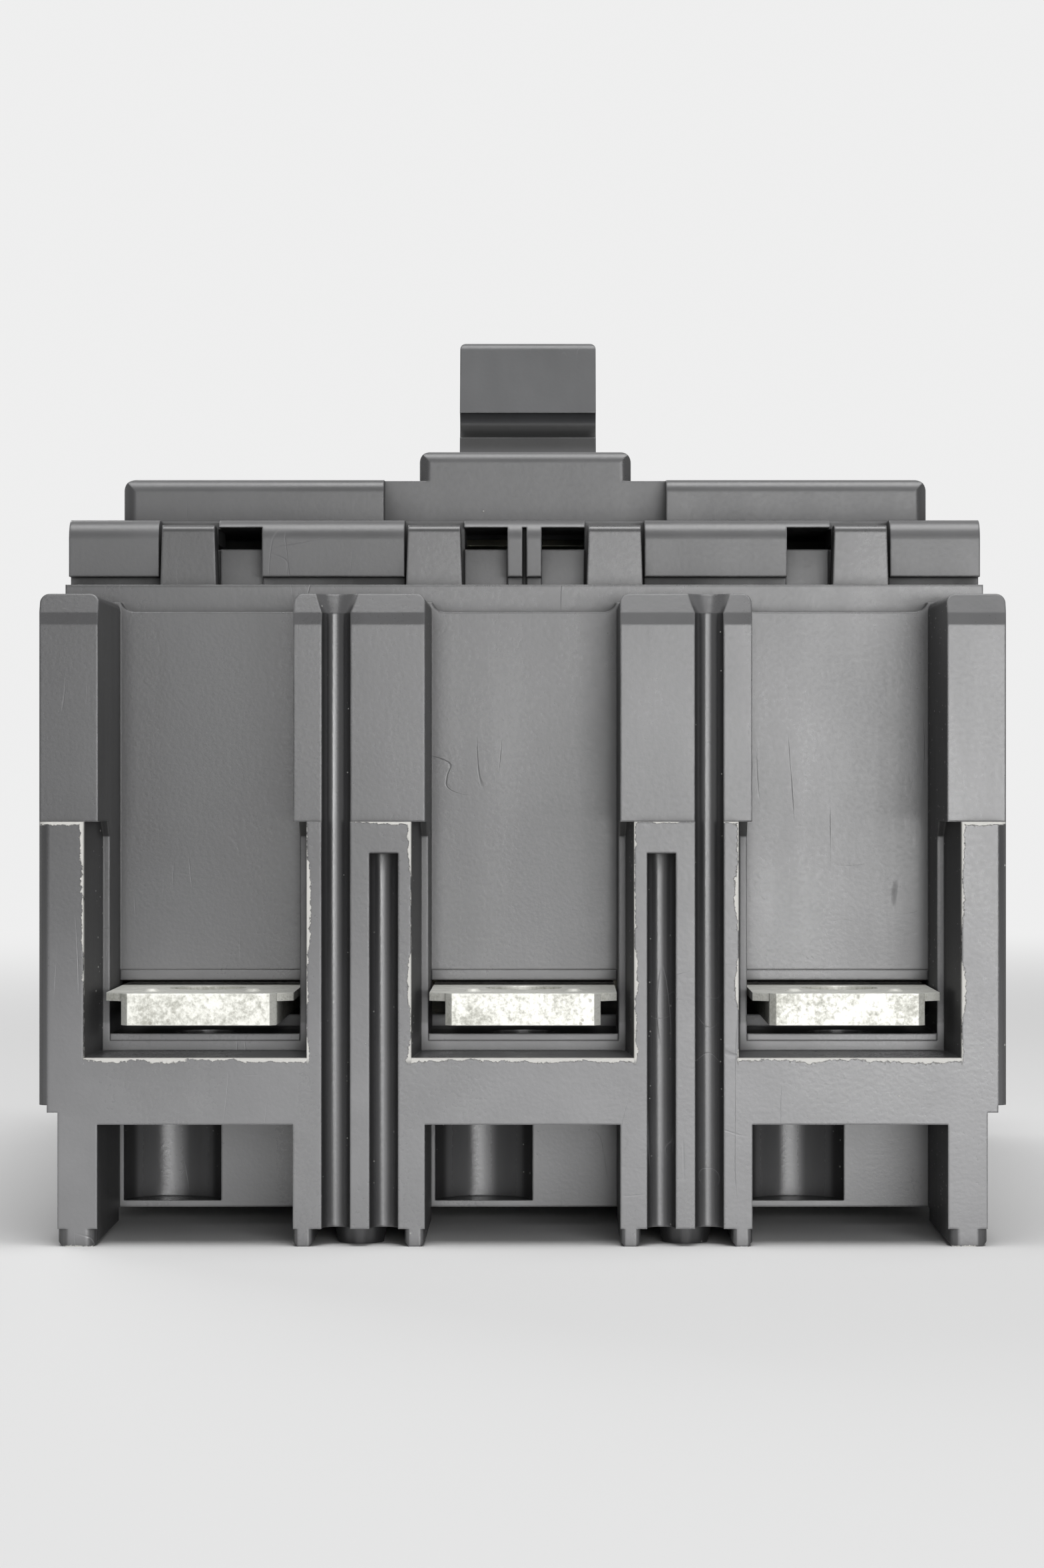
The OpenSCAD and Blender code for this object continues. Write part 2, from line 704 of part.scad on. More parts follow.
// A long foot with chamfered edges along its sole.
module long_foot(x, w, r) {
    c = 0.5;
    intersection() {
        along_z(0, foot_h + 1) translate([x, (front + well_back) / 2]) round_rect(w, well_d, r);
        along_y(front - 1, well_back + 1) polygon([
            [x - w, foot_h + 2], [x - w / 2, foot_h + 2], [x - w / 2, c], [x - w / 2 + c, 0],
            [x + w / 2 - c, 0], [x + w / 2, c], [x + w / 2, foot_h + 2]
        ]);
    }
}

module feet() {
    both_ends() both_sides() {
        long_foot(body_w / 2 - skirt_in - side_foot_w / 2, side_foot_w, 1.3);
        for (s = [-1, 1])
            long_foot(partition_x + s * ((pole_pitch - well_w) / 2 - tip_foot_w / 2), tip_foot_w, 0.6);
        translate([partition_x, front + pad_foot_in + pad_foot_w / 2, 0])
            cylinder(r1 = pad_foot_w / 2 - 0.6, r2 = pad_foot_w / 2, h = foot_h + 1);
    }
}

// Ribs down the inside of the end walls, which carry the tabs.
module tab_roots() {
    y0 = -cover_l / 2 - tab_proud;
    both_ends() both_sides() for (x = [inner_tab_x, outer_tab_x])
        along_x(x - (tab_w + tab_taper) / 2, x + (tab_w + tab_taper) / 2) polygon([
            [-chamber_end - 1, seam_z], [-chamber_end - 1, seam_z - 11], [-chamber_end, seam_z - 11],
            [y0 + tab_t, seam_z - 5], [y0 + tab_t, seam_z]
        ]);
}

module base_tabs() {
    y0 = -cover_l / 2 - tab_proud;
    both_ends() both_sides() for (x = [inner_tab_x, outer_tab_x])
        translate([x, 0, 0]) intersection() {
            along_y(y0, y0 + tab_t) polygon([
                [-tab_w / 2 - tab_taper / 2, seam_z - 1], [tab_w / 2 + tab_taper / 2, seam_z - 1],
                [tab_w / 2, tab_z], [-tab_w / 2, tab_z]
            ]);
            along_x(-tab_w, tab_w) translate([y0 + tab_t / 2, seam_z - 1])
                arch_rect(tab_t, tab_z - seam_z + 1, 0.8);
        }
}

// The hollow of one pole, with its seats, pit and trip unit floor.
module chamber(in_w, out_w) {
    end = chamber_end;
    along_x(-in_w, out_w) polygon([
        [-end, seat_z], [-line_seat_y, seat_z], [-line_seat_y, pit_z], [unit_floor_y, pit_z],
        [unit_floor_y, unit_floor_z], [load_seat_y, unit_floor_z], [load_seat_y, seat_z],
        [end, seat_z], [end, seam_z + 1], [-end, seam_z + 1]
    ]);
}

// Bosses at the ends of the pole walls, for the cover screws.
module screw_bosses(z0, z1) {
    both_ends() both_sides() rod_z(partition_x, -cover_screw_y, boss_r, z0, z1);
}

module button_guide() {
    wall_x = -partition_x - pole_wall / 2;
    reach = button_stem_r + 1.6;
    block([button_x - reach, button_y - reach, guide_z - 3], [wall_x + 1, button_y + reach, guide_z]);
}

// Open-topped bearing slot in the pole walls for a bar that turns.
module bar_slot(p, r) {
    both_sides() translate([partition_x, 0, 0]) {
        rod_x(p, r + run_gap, -pole_wall, pole_wall);
        block([-pole_wall, p[0] - r - run_gap, p[1]], [pole_wall, p[0] + r + run_gap, seam_z + 1]);
    }
}

module conductor_screw_places() {
    each_pole() {
        translate([0, -line_strap_end - line_screw_in, strap_top]) children();
        translate([0, heater_screw_y, unit_floor_z + heater_t]) children();
    }
}

module frame_screw_places() {
    both_sides() for (y = [frame_front + foot_l / 2, frame_rear - foot_l / 2])
        translate([frame_half_w + frame_t + frame_foot / 2 + 0.1, y, pit_z + frame_t]) children();
}

module base() {
    color(moulding) difference() {
        union() {
            intersection() {
                along_x(-body_w / 2, body_w / 2) base_side_outline();
                along_z(0, seam_z) round_rect(body_w, body_l, corner_r);
            }
            feet();
            base_tabs();
        }
        skirt_cut();
        both_ends() each_pole() terminal_well();
        both_ends() each_pole() bottom_notch();
        both_ends() both_sides() {
            partition_groove(long_groove_x, seam_z + 1);
            groove_mouth();
            mirror([1, 0, 0]) translate([-body_w / 2, 0, 0]) top_rounding(0);
            partition_groove(short_groove_x, short_groove_z);
        }
        both_ends() both_sides() {
            rod_z(partition_x, -mount_y, mount_hole_r, -1, seam_z);
            rod_z(partition_x, -mount_y, mount_head_r, block_z - mount_head_d, seam_z);
        }
        difference() {
            union() {
                chamber(chamber_half_w, chamber_half_w);
                both_sides() translate([pole_pitch, 0, 0]) chamber(chamber_half_w, outer_half_w);
            }
            screw_bosses(0, seam_z + 2);
            tab_roots();
            base_tabs();
            button_guide();
        }
        bar_slot(bar_axis, bar_r);
        bar_slot(trip_axis, trip_r);
        rod_z(button_x, button_y, button_stem_r + run_gap, guide_z - 5, guide_z + 1);
        both_ends() both_sides()
            rod_z(partition_x, -cover_screw_y, cover_screw_r, seam_z - cover_screw_l, seam_z + 1);
        conductor_screw_places() shank(conductor_screw_r, conductor_screw_l);
        frame_screw_places() shank(frame_screw_r, frame_screw_l);
    }
}

// Cover moulding

module cover_end_outline() {
    translate([-seam_edge, seam_z]) square([2 * seam_edge, ledge_z - seam_z]);
    translate([0, roll_z]) arch_rect(cover_l, ledge_z - roll_z, roll_r);
}

module platform() {
    difference() {
        soft_box(platform_w, platform_l, ledge_z - 2, platform_z, platform_r);
        both_ends()
            block([-middle_w / 2, -platform_l, ledge_z], [middle_w / 2, -surround_l / 2, platform_z + 1]);
    }
}

module surround() {
    intersection() {
        soft_box(surround_w, surround_l, platform_z - 2, surround_z, 1.3);
        along_y(-surround_l, surround_l) polygon([
            [-surround_w / 2 - 1, platform_z - 3], [surround_w / 2 + 1, platform_z - 3],
            [surround_w / 2 - 0.3, surround_z + 1], [-surround_w / 2 + 0.3, surround_z + 1]
        ]);
    }
}

module cover_cavity() {
    lid = ledge_z - roof;
    plate = platform_z - roof;
    end = surround_l / 2 - wall;
    for (side = [-1, 0, 1]) {
        x0 = side < 0 ? -body_w / 2 + wall : (side > 0 ? partition_x + pole_wall / 2 : -chamber_half_w);
        x1 = side < 0 ? -partition_x - pole_wall / 2 : (side > 0 ? body_w / 2 - wall : chamber_half_w);
        inset = platform_w / 2 - wall;
        block([x0, -seam_edge + wall, seam_z - 1], [x1, seam_edge - wall, lid]);
        block([max(x0, -inset), -end, lid - 1], [min(x1, inset), end, plate]);
    }
    block([-cavity_w / 2, -end, lid], [cavity_w / 2, end, surround_z - roof + 0.2]);
}

// A recess between two rolls, with a vent through its upper part.
module gas_vent(x0, x1) {
    y0 = -cover_l / 2;
    block([x0, y0 - 1, seam_z - 1], [x1, y0 + vent_recess, ledge_z - 0.9]);
    block([x0, y0 - 1, ledge_z - 0.9 - vent_h], [x1, -surround_l / 2 + wall + 1, ledge_z - 0.9]);
}

module cover() {
    y0 = -cover_l / 2;
    slit = slit_w / 2;
    slot_edge = outer_tab_x - tab_slot_w / 2;
    color(cover_colour) difference() {
        union() {
            along_x(-body_w / 2, body_w / 2) cover_end_outline();
            platform();
            surround();
        }
        difference() {
            cover_cavity();
            screw_bosses(seam_z - 1, ledge_z);
        }
        both_ends() both_sides() {
            for (x = [inner_tab_x, outer_tab_x])
                block([x - tab_slot_w / 2, y0 - 1, seam_z - 1],
                    [x + tab_slot_w / 2, y0 - tab_proud + tab_t + slide_gap, ledge_z + 1]);
            gas_vent(slit + rib_w, inner_tab_x - tab_slot_w / 2);
            gas_vent(slot_edge - outer_vent_w, slot_edge + 0.4);
        }
        both_ends() block([-slit, y0 - 1, seam_z - 1], [slit, y0 + vent_recess, ledge_z - 0.9]);
        along_z(platform_z - 4, surround_z + 1) round_rect(slot_w, slot_l, 1);
        rod_z(button_x, button_y, button_r + run_gap, platform_z - roof - 1, platform_z + 1);
        rod_z(button_x, button_y, button_flange_r + slide_gap, seam_z - 1, platform_z - roof);
        both_ends() both_sides() {
            rod_z(partition_x, -cover_screw_y, cover_screw_r + run_gap, seam_z - 1, ledge_z + 1);
            rod_z(partition_x, -cover_screw_y, cover_head_r + slide_gap, ledge_z - 2.4, ledge_z + 1);
        }
    }
}

// Handle, yoke and their pins

module at_handle() {
    translate([0, handle_y, handle_z]) rotate([-handle_lean, 0, 0]) children();
}

module handle_outline() {
    grip_low = handle_r - grip_h;
    difference() {
        union() {
            translate([0, grip_low]) arch_rect(grip_t, grip_h, grip_r);
            translate([-neck_t / 2, shield_r - 1]) square([neck_t, grip_low - shield_r + 1 + eps]);
        }
        for (s = [-1, 1]) translate([s * (neck_t / 2 + undercut_r * 0.2), grip_low - undercut_r * 0.55])
            circle(undercut_r);
    }
}

module handle() {
    color(handle_colour) at_handle() {
        intersection() {
            along_x(-handle_w / 2, handle_w / 2) handle_outline();
            along_y(-big, big) arch_rect(handle_w, handle_r, grip_r);
        }
        along_x(-shield_w / 2, shield_w / 2) intersection() {
            difference() {
                circle(shield_r, $fn = 96);
                circle(shield_r - shield_t, $fn = 96);
            }
            polygon([
                [0, 0], [-2 * shield_r * sin(shield_a), 2 * shield_r * cos(shield_a)],
                [2 * shield_r * sin(shield_a), 2 * shield_r * cos(shield_a)]
            ]);
        }
        along_x(-handle_w / 2 + 1.5, handle_w / 2 - 1.5)
            translate([-neck_t / 2, bridge_z]) square([neck_t, shield_r - bridge_z - 0.2]);
    }
}

module handle_yoke() {
    color(zinc) at_handle() difference() {
        union() {
            both_sides() along_x(yoke_x - yoke_t, yoke_x) {
                circle(yoke_leg_w / 2 + 0.1);
                translate([-yoke_leg_w / 2, 0]) square([yoke_leg_w, bridge_z]);
            }
            block([-yoke_x, -neck_t / 2, bridge_z - yoke_t], [yoke_x, neck_t / 2, bridge_z]);
        }
        rod_x([0, 0], pin_r + run_gap, -big, big);
        rod_x([0, anchor_r], anchor_pin_r, -big, big);
    }
}

module spring_anchor_pin() {
    color(steel) at_handle() rod_x([0, anchor_r], anchor_pin_r, -yoke_x, yoke_x);
}

module handle_pivot_pins() {
    color(steel) both_sides() {
        rod_x(handle_axis, pin_r, yoke_x - yoke_t, frame_half_w + frame_t);
        rod_x(handle_axis, pin_r + 0.9, frame_half_w + frame_t, frame_half_w + frame_t + 0.9);
    }
}

// Terminals and fixed contacts

module strap_blank(y_end) {
    c = 0.8;
    along_z(seat_z, strap_top) polygon([
        [-strap_w / 2 + c, strap_front], [strap_w / 2 - c, strap_front],
        [strap_w / 2, strap_front + c], [strap_w / 2, y_end],
        [-strap_w / 2, y_end], [-strap_w / 2, strap_front + c]
    ]);
}

module line_strap() {
    color(tin) difference() {
        strap_blank(-line_strap_end);
        rod_z(0, front + strap_hole_d, strap_hole_r, 0, big);
        rod_z(0, -line_strap_end - line_screw_in, conductor_screw_r, 0, big);
    }
}

module load_strap() {
    color(tin) mirror([0, 1, 0]) difference() {
        union() {
            strap_blank(-load_leg_y - heater_t);
            along_z(seat_z, heater_top) translate([-heater_w / 2, -load_leg_y - heater_t])
                square([heater_w, heater_t]);
        }
        rod_z(0, front + strap_hole_d, strap_hole_r, 0, big);
        rod_y(0, rivet_z, rivet_r, -big, big);
    }
}

module terminal_plate(back_d) {
    c = 1.2;
    w = plate_w / 2;
    t = plate_tab_w / 2;
    back = front + back_d;
    wing = front + plate_wing_d;
    color(tin) difference() {
        union() {
            along_z(strap_top, plate_top) polygon([
                [-t, strap_front - plate_t], [t, strap_front - plate_t], [t, wing - 1.2], [w, wing],
                [w, back - 4], [w - 0.85, back - c], [w - 0.85 - c, back],
                [-w + 0.85 + c, back], [-w + 0.85, back - c], [-w, back - 4], [-w, wing], [-t, wing - 1.2]
            ]);
            block([-t, strap_front - plate_t, seat_z], [t, strap_front, plate_top]);
            both_sides() translate([dimple_x, front + dimple_d, plate_top])
                cylinder(r1 = dimple_r, r2 = dimple_r * 0.6, h = 0.3);
        }
        rod_z(0, front + strap_hole_d, plate_hole_r, 0, big);
        both_sides() translate([t, strap_front - plate_t, 0]) rotate([0, 0, 45])
            cube([1, 1, 2 * big], center = true);
    }
}

module line_terminal_plates() {
    each_pole() terminal_plate(plate_back_d);
}

module load_terminal_plates() {
    mirror([0, 1, 0]) each_pole() terminal_plate(load_plate_back_d);
}

module contact_pad(z0, z1) {
    y = bar_y - arm_l + pad_l / 2;
    along_z(z0, z1) translate([0, y]) round_rect(pad_w, pad_l, 1.2);
}

module stationary_contacts() {
    color(silver) each_pole() contact_pad(strap_top, strap_top + pad_t);
}

// Arc chutes

module splitter_tab_places() {
    for (k = [0:splitters - 1], y = [-chute_front + 6, -chute_back - 7])
        translate([0, y, splitter_z + k * splitter_pitch]) children();
}

module arc_chute_sides() {
    color(fibre) both_sides() difference() {
        along_x(chute_half_w, chute_half_w + fibre_t) polygon([
            [-chute_front, seat_z], [-chute_back, seat_z], [-chute_back, chute_z - 4],
            [-chute_back - 4, chute_z], [-chute_front, chute_z]
        ]);
        splitter_tab_places() translate([0, -2, 0]) cube([2 * chute_half_w, 4, splitter_t]);
    }
}

module arc_plates() {
    r = throat_half_w;
    color(steel) {
        for (k = [0:splitters - 1]) {
            z = splitter_z + k * splitter_pitch;
            along_z(z, z + splitter_t) difference() {
                translate([-chute_half_w, -chute_front + 1.5])
                    square([2 * chute_half_w, chute_front - chute_back - 2.5]);
                translate([0, -throat_y + r]) circle(r);
                translate([-r, -throat_y + r]) square([2 * r, throat_y]);
            }
        }
        both_sides() splitter_tab_places() translate([chute_half_w - eps, -2, 0])
            cube([fibre_t + eps, 4, splitter_t]);
    }
}

// Crossbar, arms and moving contacts, drawn at ON and turned to OFF

module at_off() {
    turn_about(bar_axis, -arm_swing) children();
}

arm_top = bar_z + 0.7;
arm_low = arm_top - arm_t;

module arm_outline() {
    tip = bar_y - arm_l;
    polygon([
        [tip + 1.5, arm_top], [tip, arm_top - 1.5], [tip, arm_low], [bar_y + arm_tail, arm_low],
        [bar_y + arm_tail, arm_top]
    ]);
}

module contact_arm() {
    color(copper) at_off() along_x(-arm_w / 2, arm_w / 2) arm_outline();
}

module moving_contacts() {
    color(silver) each_pole() at_off() contact_pad(strap_top + pad_t + touch_gap, arm_low);
}

module crossbar() {
    reach = pole_pitch + outer_half_w - 1;
    color(moulding) at_off() difference() {
        union() {
            rod_x(bar_axis, bar_r, -reach, reach);
            each_pole() along_x(-hub_w / 2, hub_w / 2) difference() {
                translate(bar_axis) circle(bar_r + 1.4);
                translate([bar_y + bar_r + 0.2, -big]) square([big, 2 * big]);
            }
            both_sides() along_x(ear_x, hub_w / 2 - 0.4) capsule(bar_axis, foot_pin_on, pin_r + 1.3);
        }
        each_pole() along_x(-arm_w / 2, arm_w / 2) arm_outline();
        rod_x(foot_pin_on, pin_r, -hub_w, hub_w);
    }
}

// Ribbon of constant thickness along a list of YZ points.
module ribbon(path, t) {
    for (k = [0:len(path) - 2]) capsule(path[k], path[k + 1], t / 2);
}

module braid() {
    middle = (arm_top + arm_low) / 2;
    tail_y = bar_y + arm_tail;
    out = turned([tail_y + 4, middle], bar_axis, -arm_swing);
    foot = unit_floor_z + heater_t + braid_t / 2;
    lie = unit_floor_y + 2.2;
    start = turned([tail_y + braid_t / 2 + touch_gap, middle], bar_axis, -arm_swing);
    color(braid_colour) along_x(-braid_w / 2, braid_w / 2) ribbon([
        start, out, out + [braid_reach * 0.36, -braid_sag * 0.7], out + [braid_reach * 0.7, -braid_sag],
        out + [braid_reach, -braid_sag * 0.875],
        [lie - 1.4, foot - 1.2 + braid_t], [lie, foot + touch_gap], [lie + 2.4, foot + touch_gap]
    ], braid_t);
}

// Mechanism

module frame_outline() {
    r = frame_top_r;
    difference() {
        union() {
            translate([frame_front, pit_z]) square([frame_rear - frame_front, frame_z - pit_z - r - 1]);
            translate([frame_front + r, pit_z]) square([frame_top_l, frame_z - pit_z]);
            translate([frame_front + r, frame_z - r]) circle(r);
            translate([frame_front, pit_z]) square([r, frame_z - pit_z - r]);
            translate([frame_front + r + frame_top_l, frame_z - r - 1]) circle(r + 1);
        }
        translate(bar_axis) circle(bar_r + 0.6);
        translate([bar_y - bar_r - 0.6, pit_z - 1]) square([2 * bar_r + 1.2, bar_z - pit_z + 1]);
        translate([frame_rear - 6, pit_z + 22]) circle(3);
        translate([frame_front + 6, pit_z + 20]) circle(3);
    }
}

module mechanism_frame() {
    outer = frame_half_w + frame_t;
    color(zinc) difference() {
        union() {
            along_x(frame_half_w, outer) frame_outline();
            for (y = [frame_front, frame_rear - foot_l])
                block([outer - eps, y, pit_z], [outer + frame_foot, y + foot_l, pit_z + frame_t]);
        }
        rod_x(handle_axis, pin_r, 0, big);
        rod_x(cradle_axis, pin_r, 0, big);
        rod_x(spacer, spacer_r, 0, big);
        frame_screw_places() shank(frame_screw_r, frame_screw_l);
    }
}

module frame_spacer() {
    color(steel) rod_x(spacer, spacer_r, -frame_half_w - frame_t, frame_half_w + frame_t);
}

module frame_screws() {
    color(steel) frame_screw_places() {
        cylinder(r = frame_screw_r + 0.5, h = 1.2);
        shank(frame_screw_r, frame_screw_l);
    }
}

// The cradle's bar, between its pivot and the link pin.
module cradle_bar() {
    translate(cradle_axis) circle(4);
    capsule(cradle_axis, link_pin, 3.4);
    translate(link_pin) circle(3.8);
}

// The cradle's arm, from the link pin to the tip that the trip bar holds down.
module cradle_arm() {
    polygon([
        [link_pin_y - 0.8, link_pin_z + 3.6], [latch_y - 4, latch_z + 1.2], [latch_y - 2, latch_z],
        [latch_y, latch_z], [latch_y, latch_z - 2.6], [latch_y - 5, latch_z - 4.4],
        [link_pin_y + 2, link_pin_z - 3], [link_pin_y - 0.8, link_pin_z - 3]
    ]);
}

module cradle() {
    t = cradle_t / 2;
    color(steel) difference() {
        union() {
            along_x(-t, t) cradle_bar();
            along_x(-t, t) cradle_arm();
        }
        rod_x(cradle_axis, pin_r + run_gap, -big, big);
        rod_x(link_pin, pin_r, -big, big);
    }
}

module cradle_pivot_pin() {
    color(steel) rod_x(cradle_axis, pin_r, -frame_half_w - frame_t, frame_half_w + frame_t);
}

module cradle_link_pin() {
    color(steel) rod_x(link_pin, pin_r, -link_x - link_t - slide_gap / 2, link_x + link_t + slide_gap / 2);
}

// The upper ends are open notches that bear on the cradle's link pin.
module upper_links() {
    a = heading(link_pin - knee);
    seat = upper_l - hook_play;
    color(zinc) both_sides() along_x(link_x, link_x + link_t) translate(knee) rotate(a) difference() {
        union() {
            circle(link_r);
            translate([0, -link_r]) square([upper_l - 0.3, 2 * link_r]);
        }
        translate([seat, 0]) circle(pin_r + hook_gap);
        translate([seat, -pin_r - hook_gap]) square([10, 2 * (pin_r + hook_gap)]);
        circle(pin_r);
    }
}

module lower_links() {
    color(zinc) both_sides() along_x(low_link_x, low_link_x + link_t) difference() {
        capsule(foot_pin, knee, link_r);
        translate(foot_pin) circle(pin_r + run_gap);
        translate(knee) circle(pin_r + run_gap);
    }
}

module knee_pin() {
    reach = spring_x + 1.2;
    color(steel) rod_x(knee, pin_r, -reach, reach);
}

module crossbar_link_pin() {
    color(steel) rod_x(foot_pin, pin_r, -hub_w / 2, hub_w / 2);
}

// A closed tube through a list of points, as one polyhedron.
module tube(path, r, sides) {
    n = len(path);
    dirs = [for (k = [0:n - 1]) let (v = path[min(k + 1, n - 1)] - path[max(k - 1, 0)]) v / norm(v)];
    rings = [for (k = [0:n - 1])
        let (t = dirs[k], u0 = abs(t[2]) > 0.9 ? [1, 0, 0] : [0, 0, 1], u1 = cross(t, u0),
             u = u1 / norm(u1), v = cross(t, u))
        for (s = [0:sides - 1]) path[k] + r * (cos(s * 360 / sides) * u + sin(s * 360 / sides) * v)];
    walls = [for (k = [0:n - 2], s = [0:sides - 1])
        let (a = k * sides + s, b = k * sides + (s + 1) % sides) each [
            [a, b, b + sides], [a, b + sides, a + sides]
        ]];
    polyhedron(points = rings, faces = concat(
        walls, [[for (s = [0:sides - 1]) sides - 1 - s]], [[for (s = [0:sides - 1]) (n - 1) * sides + s]]));
}

// Coils along Z from 0 to h, ending on the axis of the coil.
module coil(h, r, wire_r, turns, per_turn, lead) {
    n = turns * per_turn;
    tube(concat(
        [[0, 0, 0], [0, 0, lead * 0.6]],
        [for (k = [0:n]) [r * cos(k * 360 / per_turn), r * sin(k * 360 / per_turn),
            lead + (h - 2 * lead) * k / n]],
        [[0, 0, h - lead * 0.6], [0, 0, h]]
    ), wire_r, 5);
}

module operating_spring() {
    span = norm(anchor - knee);
    lean = 90 - heading(anchor - knee);
    eye = anchor_pin_r + spring_wire_r + touch_gap;
    eye_low = pin_r + spring_wire_r + touch_gap;
    translate([0, knee[0], knee[1]]) rotate([-lean, 0, 0]) {
        translate([0, 0, eye_low]) coil(span - eye - eye_low, spring_r, spring_wire_r, spring_turns, 9, 3);
    }
}

module operating_springs() {
    color(silver) both_sides() translate([spring_x, 0, 0]) operating_spring();
}

// Trip unit

module trip_bar() {
    reach = pole_pitch + outer_half_w - 1;
    lip_y = latch_y - latch_bite;
    lip_z = latch_z + 2.5 * touch_gap;
    color(moulding) {
        rod_x(trip_axis, trip_r, -reach, reach);
        each_pole() along_x(-2.5, 2.5) polygon([
            [trip_y - 0.5, trip_z], [trip_y + 2.4, trip_z - 1], [trip_y + 5.2, trip_z - 6],
            [trip_y + 5.2, trip_z - 11.6], [trip_y + 3.4, trip_z - 11.6], [trip_y + 3.2, trip_z - 6]
        ]);
        along_x(-2, 2) polygon([
            [trip_y - 2, trip_z], [trip_y - 5.4, lip_z - 3], [trip_y - 5.4, lip_z], [lip_y, lip_z],
            [lip_y, lip_z + 1.4], [trip_y - 4, lip_z + 1.4], [trip_y + 1.6, trip_z + 1]
        ]);
        along_x(button_x - 1.5, button_x + 2) polygon([
            [trip_y, trip_z - 2.4], [trip_y + button_lever + 1.6, trip_z + 0.4],
            [trip_y + button_lever + 1.6, trip_z + trip_r], [trip_y, trip_z + trip_r]
        ]);
    }
}

module trip_button() {
    stem_low = trip_z + trip_r + touch_gap * 2;
    top = platform_z + button_proud;
    under = platform_z - roof;
    color("#8a8f94") {
        rod_z(button_x, button_y, button_r, under - 1.5, top - 0.5);
        translate([button_x, button_y, top - 0.5]) cylinder(r1 = button_r, r2 = button_r - 0.5, h = 0.5);
        rod_z(button_x, button_y, button_flange_r, under - 1.5, under - touch_gap);
        rod_z(button_x, button_y, button_stem_r, stem_low + button_stem_r, under - 1);
        translate([button_x, button_y, stem_low + button_stem_r]) sphere(button_stem_r);
    }
}

module trip_button_spring() {
    top = platform_z - roof - 1.5 - touch_gap;
    low = guide_z + touch_gap;
    n = 56;
    wire = 0.3;
    r = button_stem_r + wire + 0.35;
    color(silver) translate([button_x, button_y, low]) tube([for (k = [0:n])
        [r * cos(k * 40), r * sin(k * 40), wire + (top - low - 2 * wire) * k / n]], wire, 5);
}

module heater() {
    w = heater_w / 2;
    foot = unit_floor_y + 1;
    color(steel) difference() {
        along_x(-w, w) {
            translate([foot, unit_floor_z]) square([heater_y + heater_t - foot, heater_t]);
            translate([heater_y, unit_floor_z]) square([heater_t, heater_top - unit_floor_z]);
            translate([bimetal_y, heater_top - 5]) square([load_leg_y - bimetal_y, 5]);
        }
        rod_z(0, heater_screw_y, conductor_screw_r, 0, unit_floor_z + heater_t + 1);
        rod_y(0, rivet_z, rivet_r, 0, big);
    }
}

module bimetal() {
    w = heater_w / 2 - 0.5;
    color(zinc) difference() {
        block([-w, bimetal_y - bimetal_t, bimetal_z], [w, bimetal_y, heater_top]);
        rod_y(0, rivet_z, rivet_r, 0, big);
        rod_y(0, cal_screw_z, cal_screw_r, 0, big);
    }
}

module calibration_screws() {
    color("gold") each_pole() difference() {
        rod_y(0, cal_screw_z, cal_screw_r, trip_y + 5.9, bimetal_y);
        block([-0.2, bimetal_y - 0.5, bimetal_z], [0.2, heater_y, cal_screw_z + cal_screw_r + 1]);
    }
}

module trip_unit_rivets() {
    y0 = bimetal_y - bimetal_t;
    color(silver) each_pole() {
        rod_y(0, rivet_z, rivet_r, y0, magnet_y + magnet_t);
        rod_y(0, rivet_z, rivet_r + 0.9, y0 - 0.9, y0);
    }
}

module magnet() {
    face = armature_axis[0] + armature_t / 2 + armature_gap;
    m = magnet_half_w;
    neck = heater_w / 2;
    color(steel) difference() {
        union() {
            both_sides() block([m, face, magnet_z], [m + magnet_t, magnet_y + eps, pole_face_z]);
            both_sides() along_x(m, m + magnet_t) {
                translate(armature_axis) circle(2);
                translate([armature_axis[0], armature_z - 2]) square([face - armature_axis[0] + 1, 4]);
            }
            block([-m - magnet_t, magnet_y, magnet_z], [m + magnet_t, magnet_y + magnet_t, pole_face_z]);
            block([-neck, magnet_y, magnet_z], [neck, magnet_y + magnet_t, heater_top]);
            block([-3, load_leg_y + heater_t, heater_top - 5], [3, magnet_y + eps, heater_top]);
        }
        rod_y(0, rivet_z, rivet_r, 0, big);
        rod_x(armature_axis, 1 + run_gap, -big, big);
    }
}

module armature() {
    y0 = armature_axis[0] - armature_t / 2;
    y1 = armature_axis[0] + armature_t / 2;
    m = magnet_half_w;
    low = armature_z - armature_drop;
    shoulder = armature_z + armature_rise;
    color(zinc) {
        block([-m - magnet_t, y0, shoulder], [m + magnet_t, y1, pole_face_z - 1]);
        block([-m + slide_gap, y0, low], [m - slide_gap, y1, shoulder + eps]);
        block([-3, trip_y + armature_tail_y, low], [3, y0 + eps, low + 2]);
        rod_x(armature_axis, 1, -m - magnet_t, m + magnet_t);
    }
}

// Screws

module cover_screws() {
    low = seam_z - cover_screw_l;
    color(steel) both_ends() both_sides() translate([partition_x, -cover_screw_y, 0]) difference() {
        union() {
            translate([0, 0, low]) cylinder(r = cover_screw_r, h = ledge_z - 2.4 - low);
            translate([0, 0, ledge_z - 2.4]) cylinder(r = cover_head_r, h = 1.9);
        }
        translate([-cover_head_r, -0.4, ledge_z - 1.4]) cube([2 * cover_head_r, 0.8, 2]);
    }
}

module conductor_screws() {
    color(steel) conductor_screw_places() difference() {
        union() {
            cylinder(r = conductor_head_r, h = 1.6);
            shank(conductor_screw_r, conductor_screw_l);
        }
        translate([-conductor_head_r, -0.35, 0.9]) cube([2 * conductor_head_r, 0.7, 2]);
    }
}

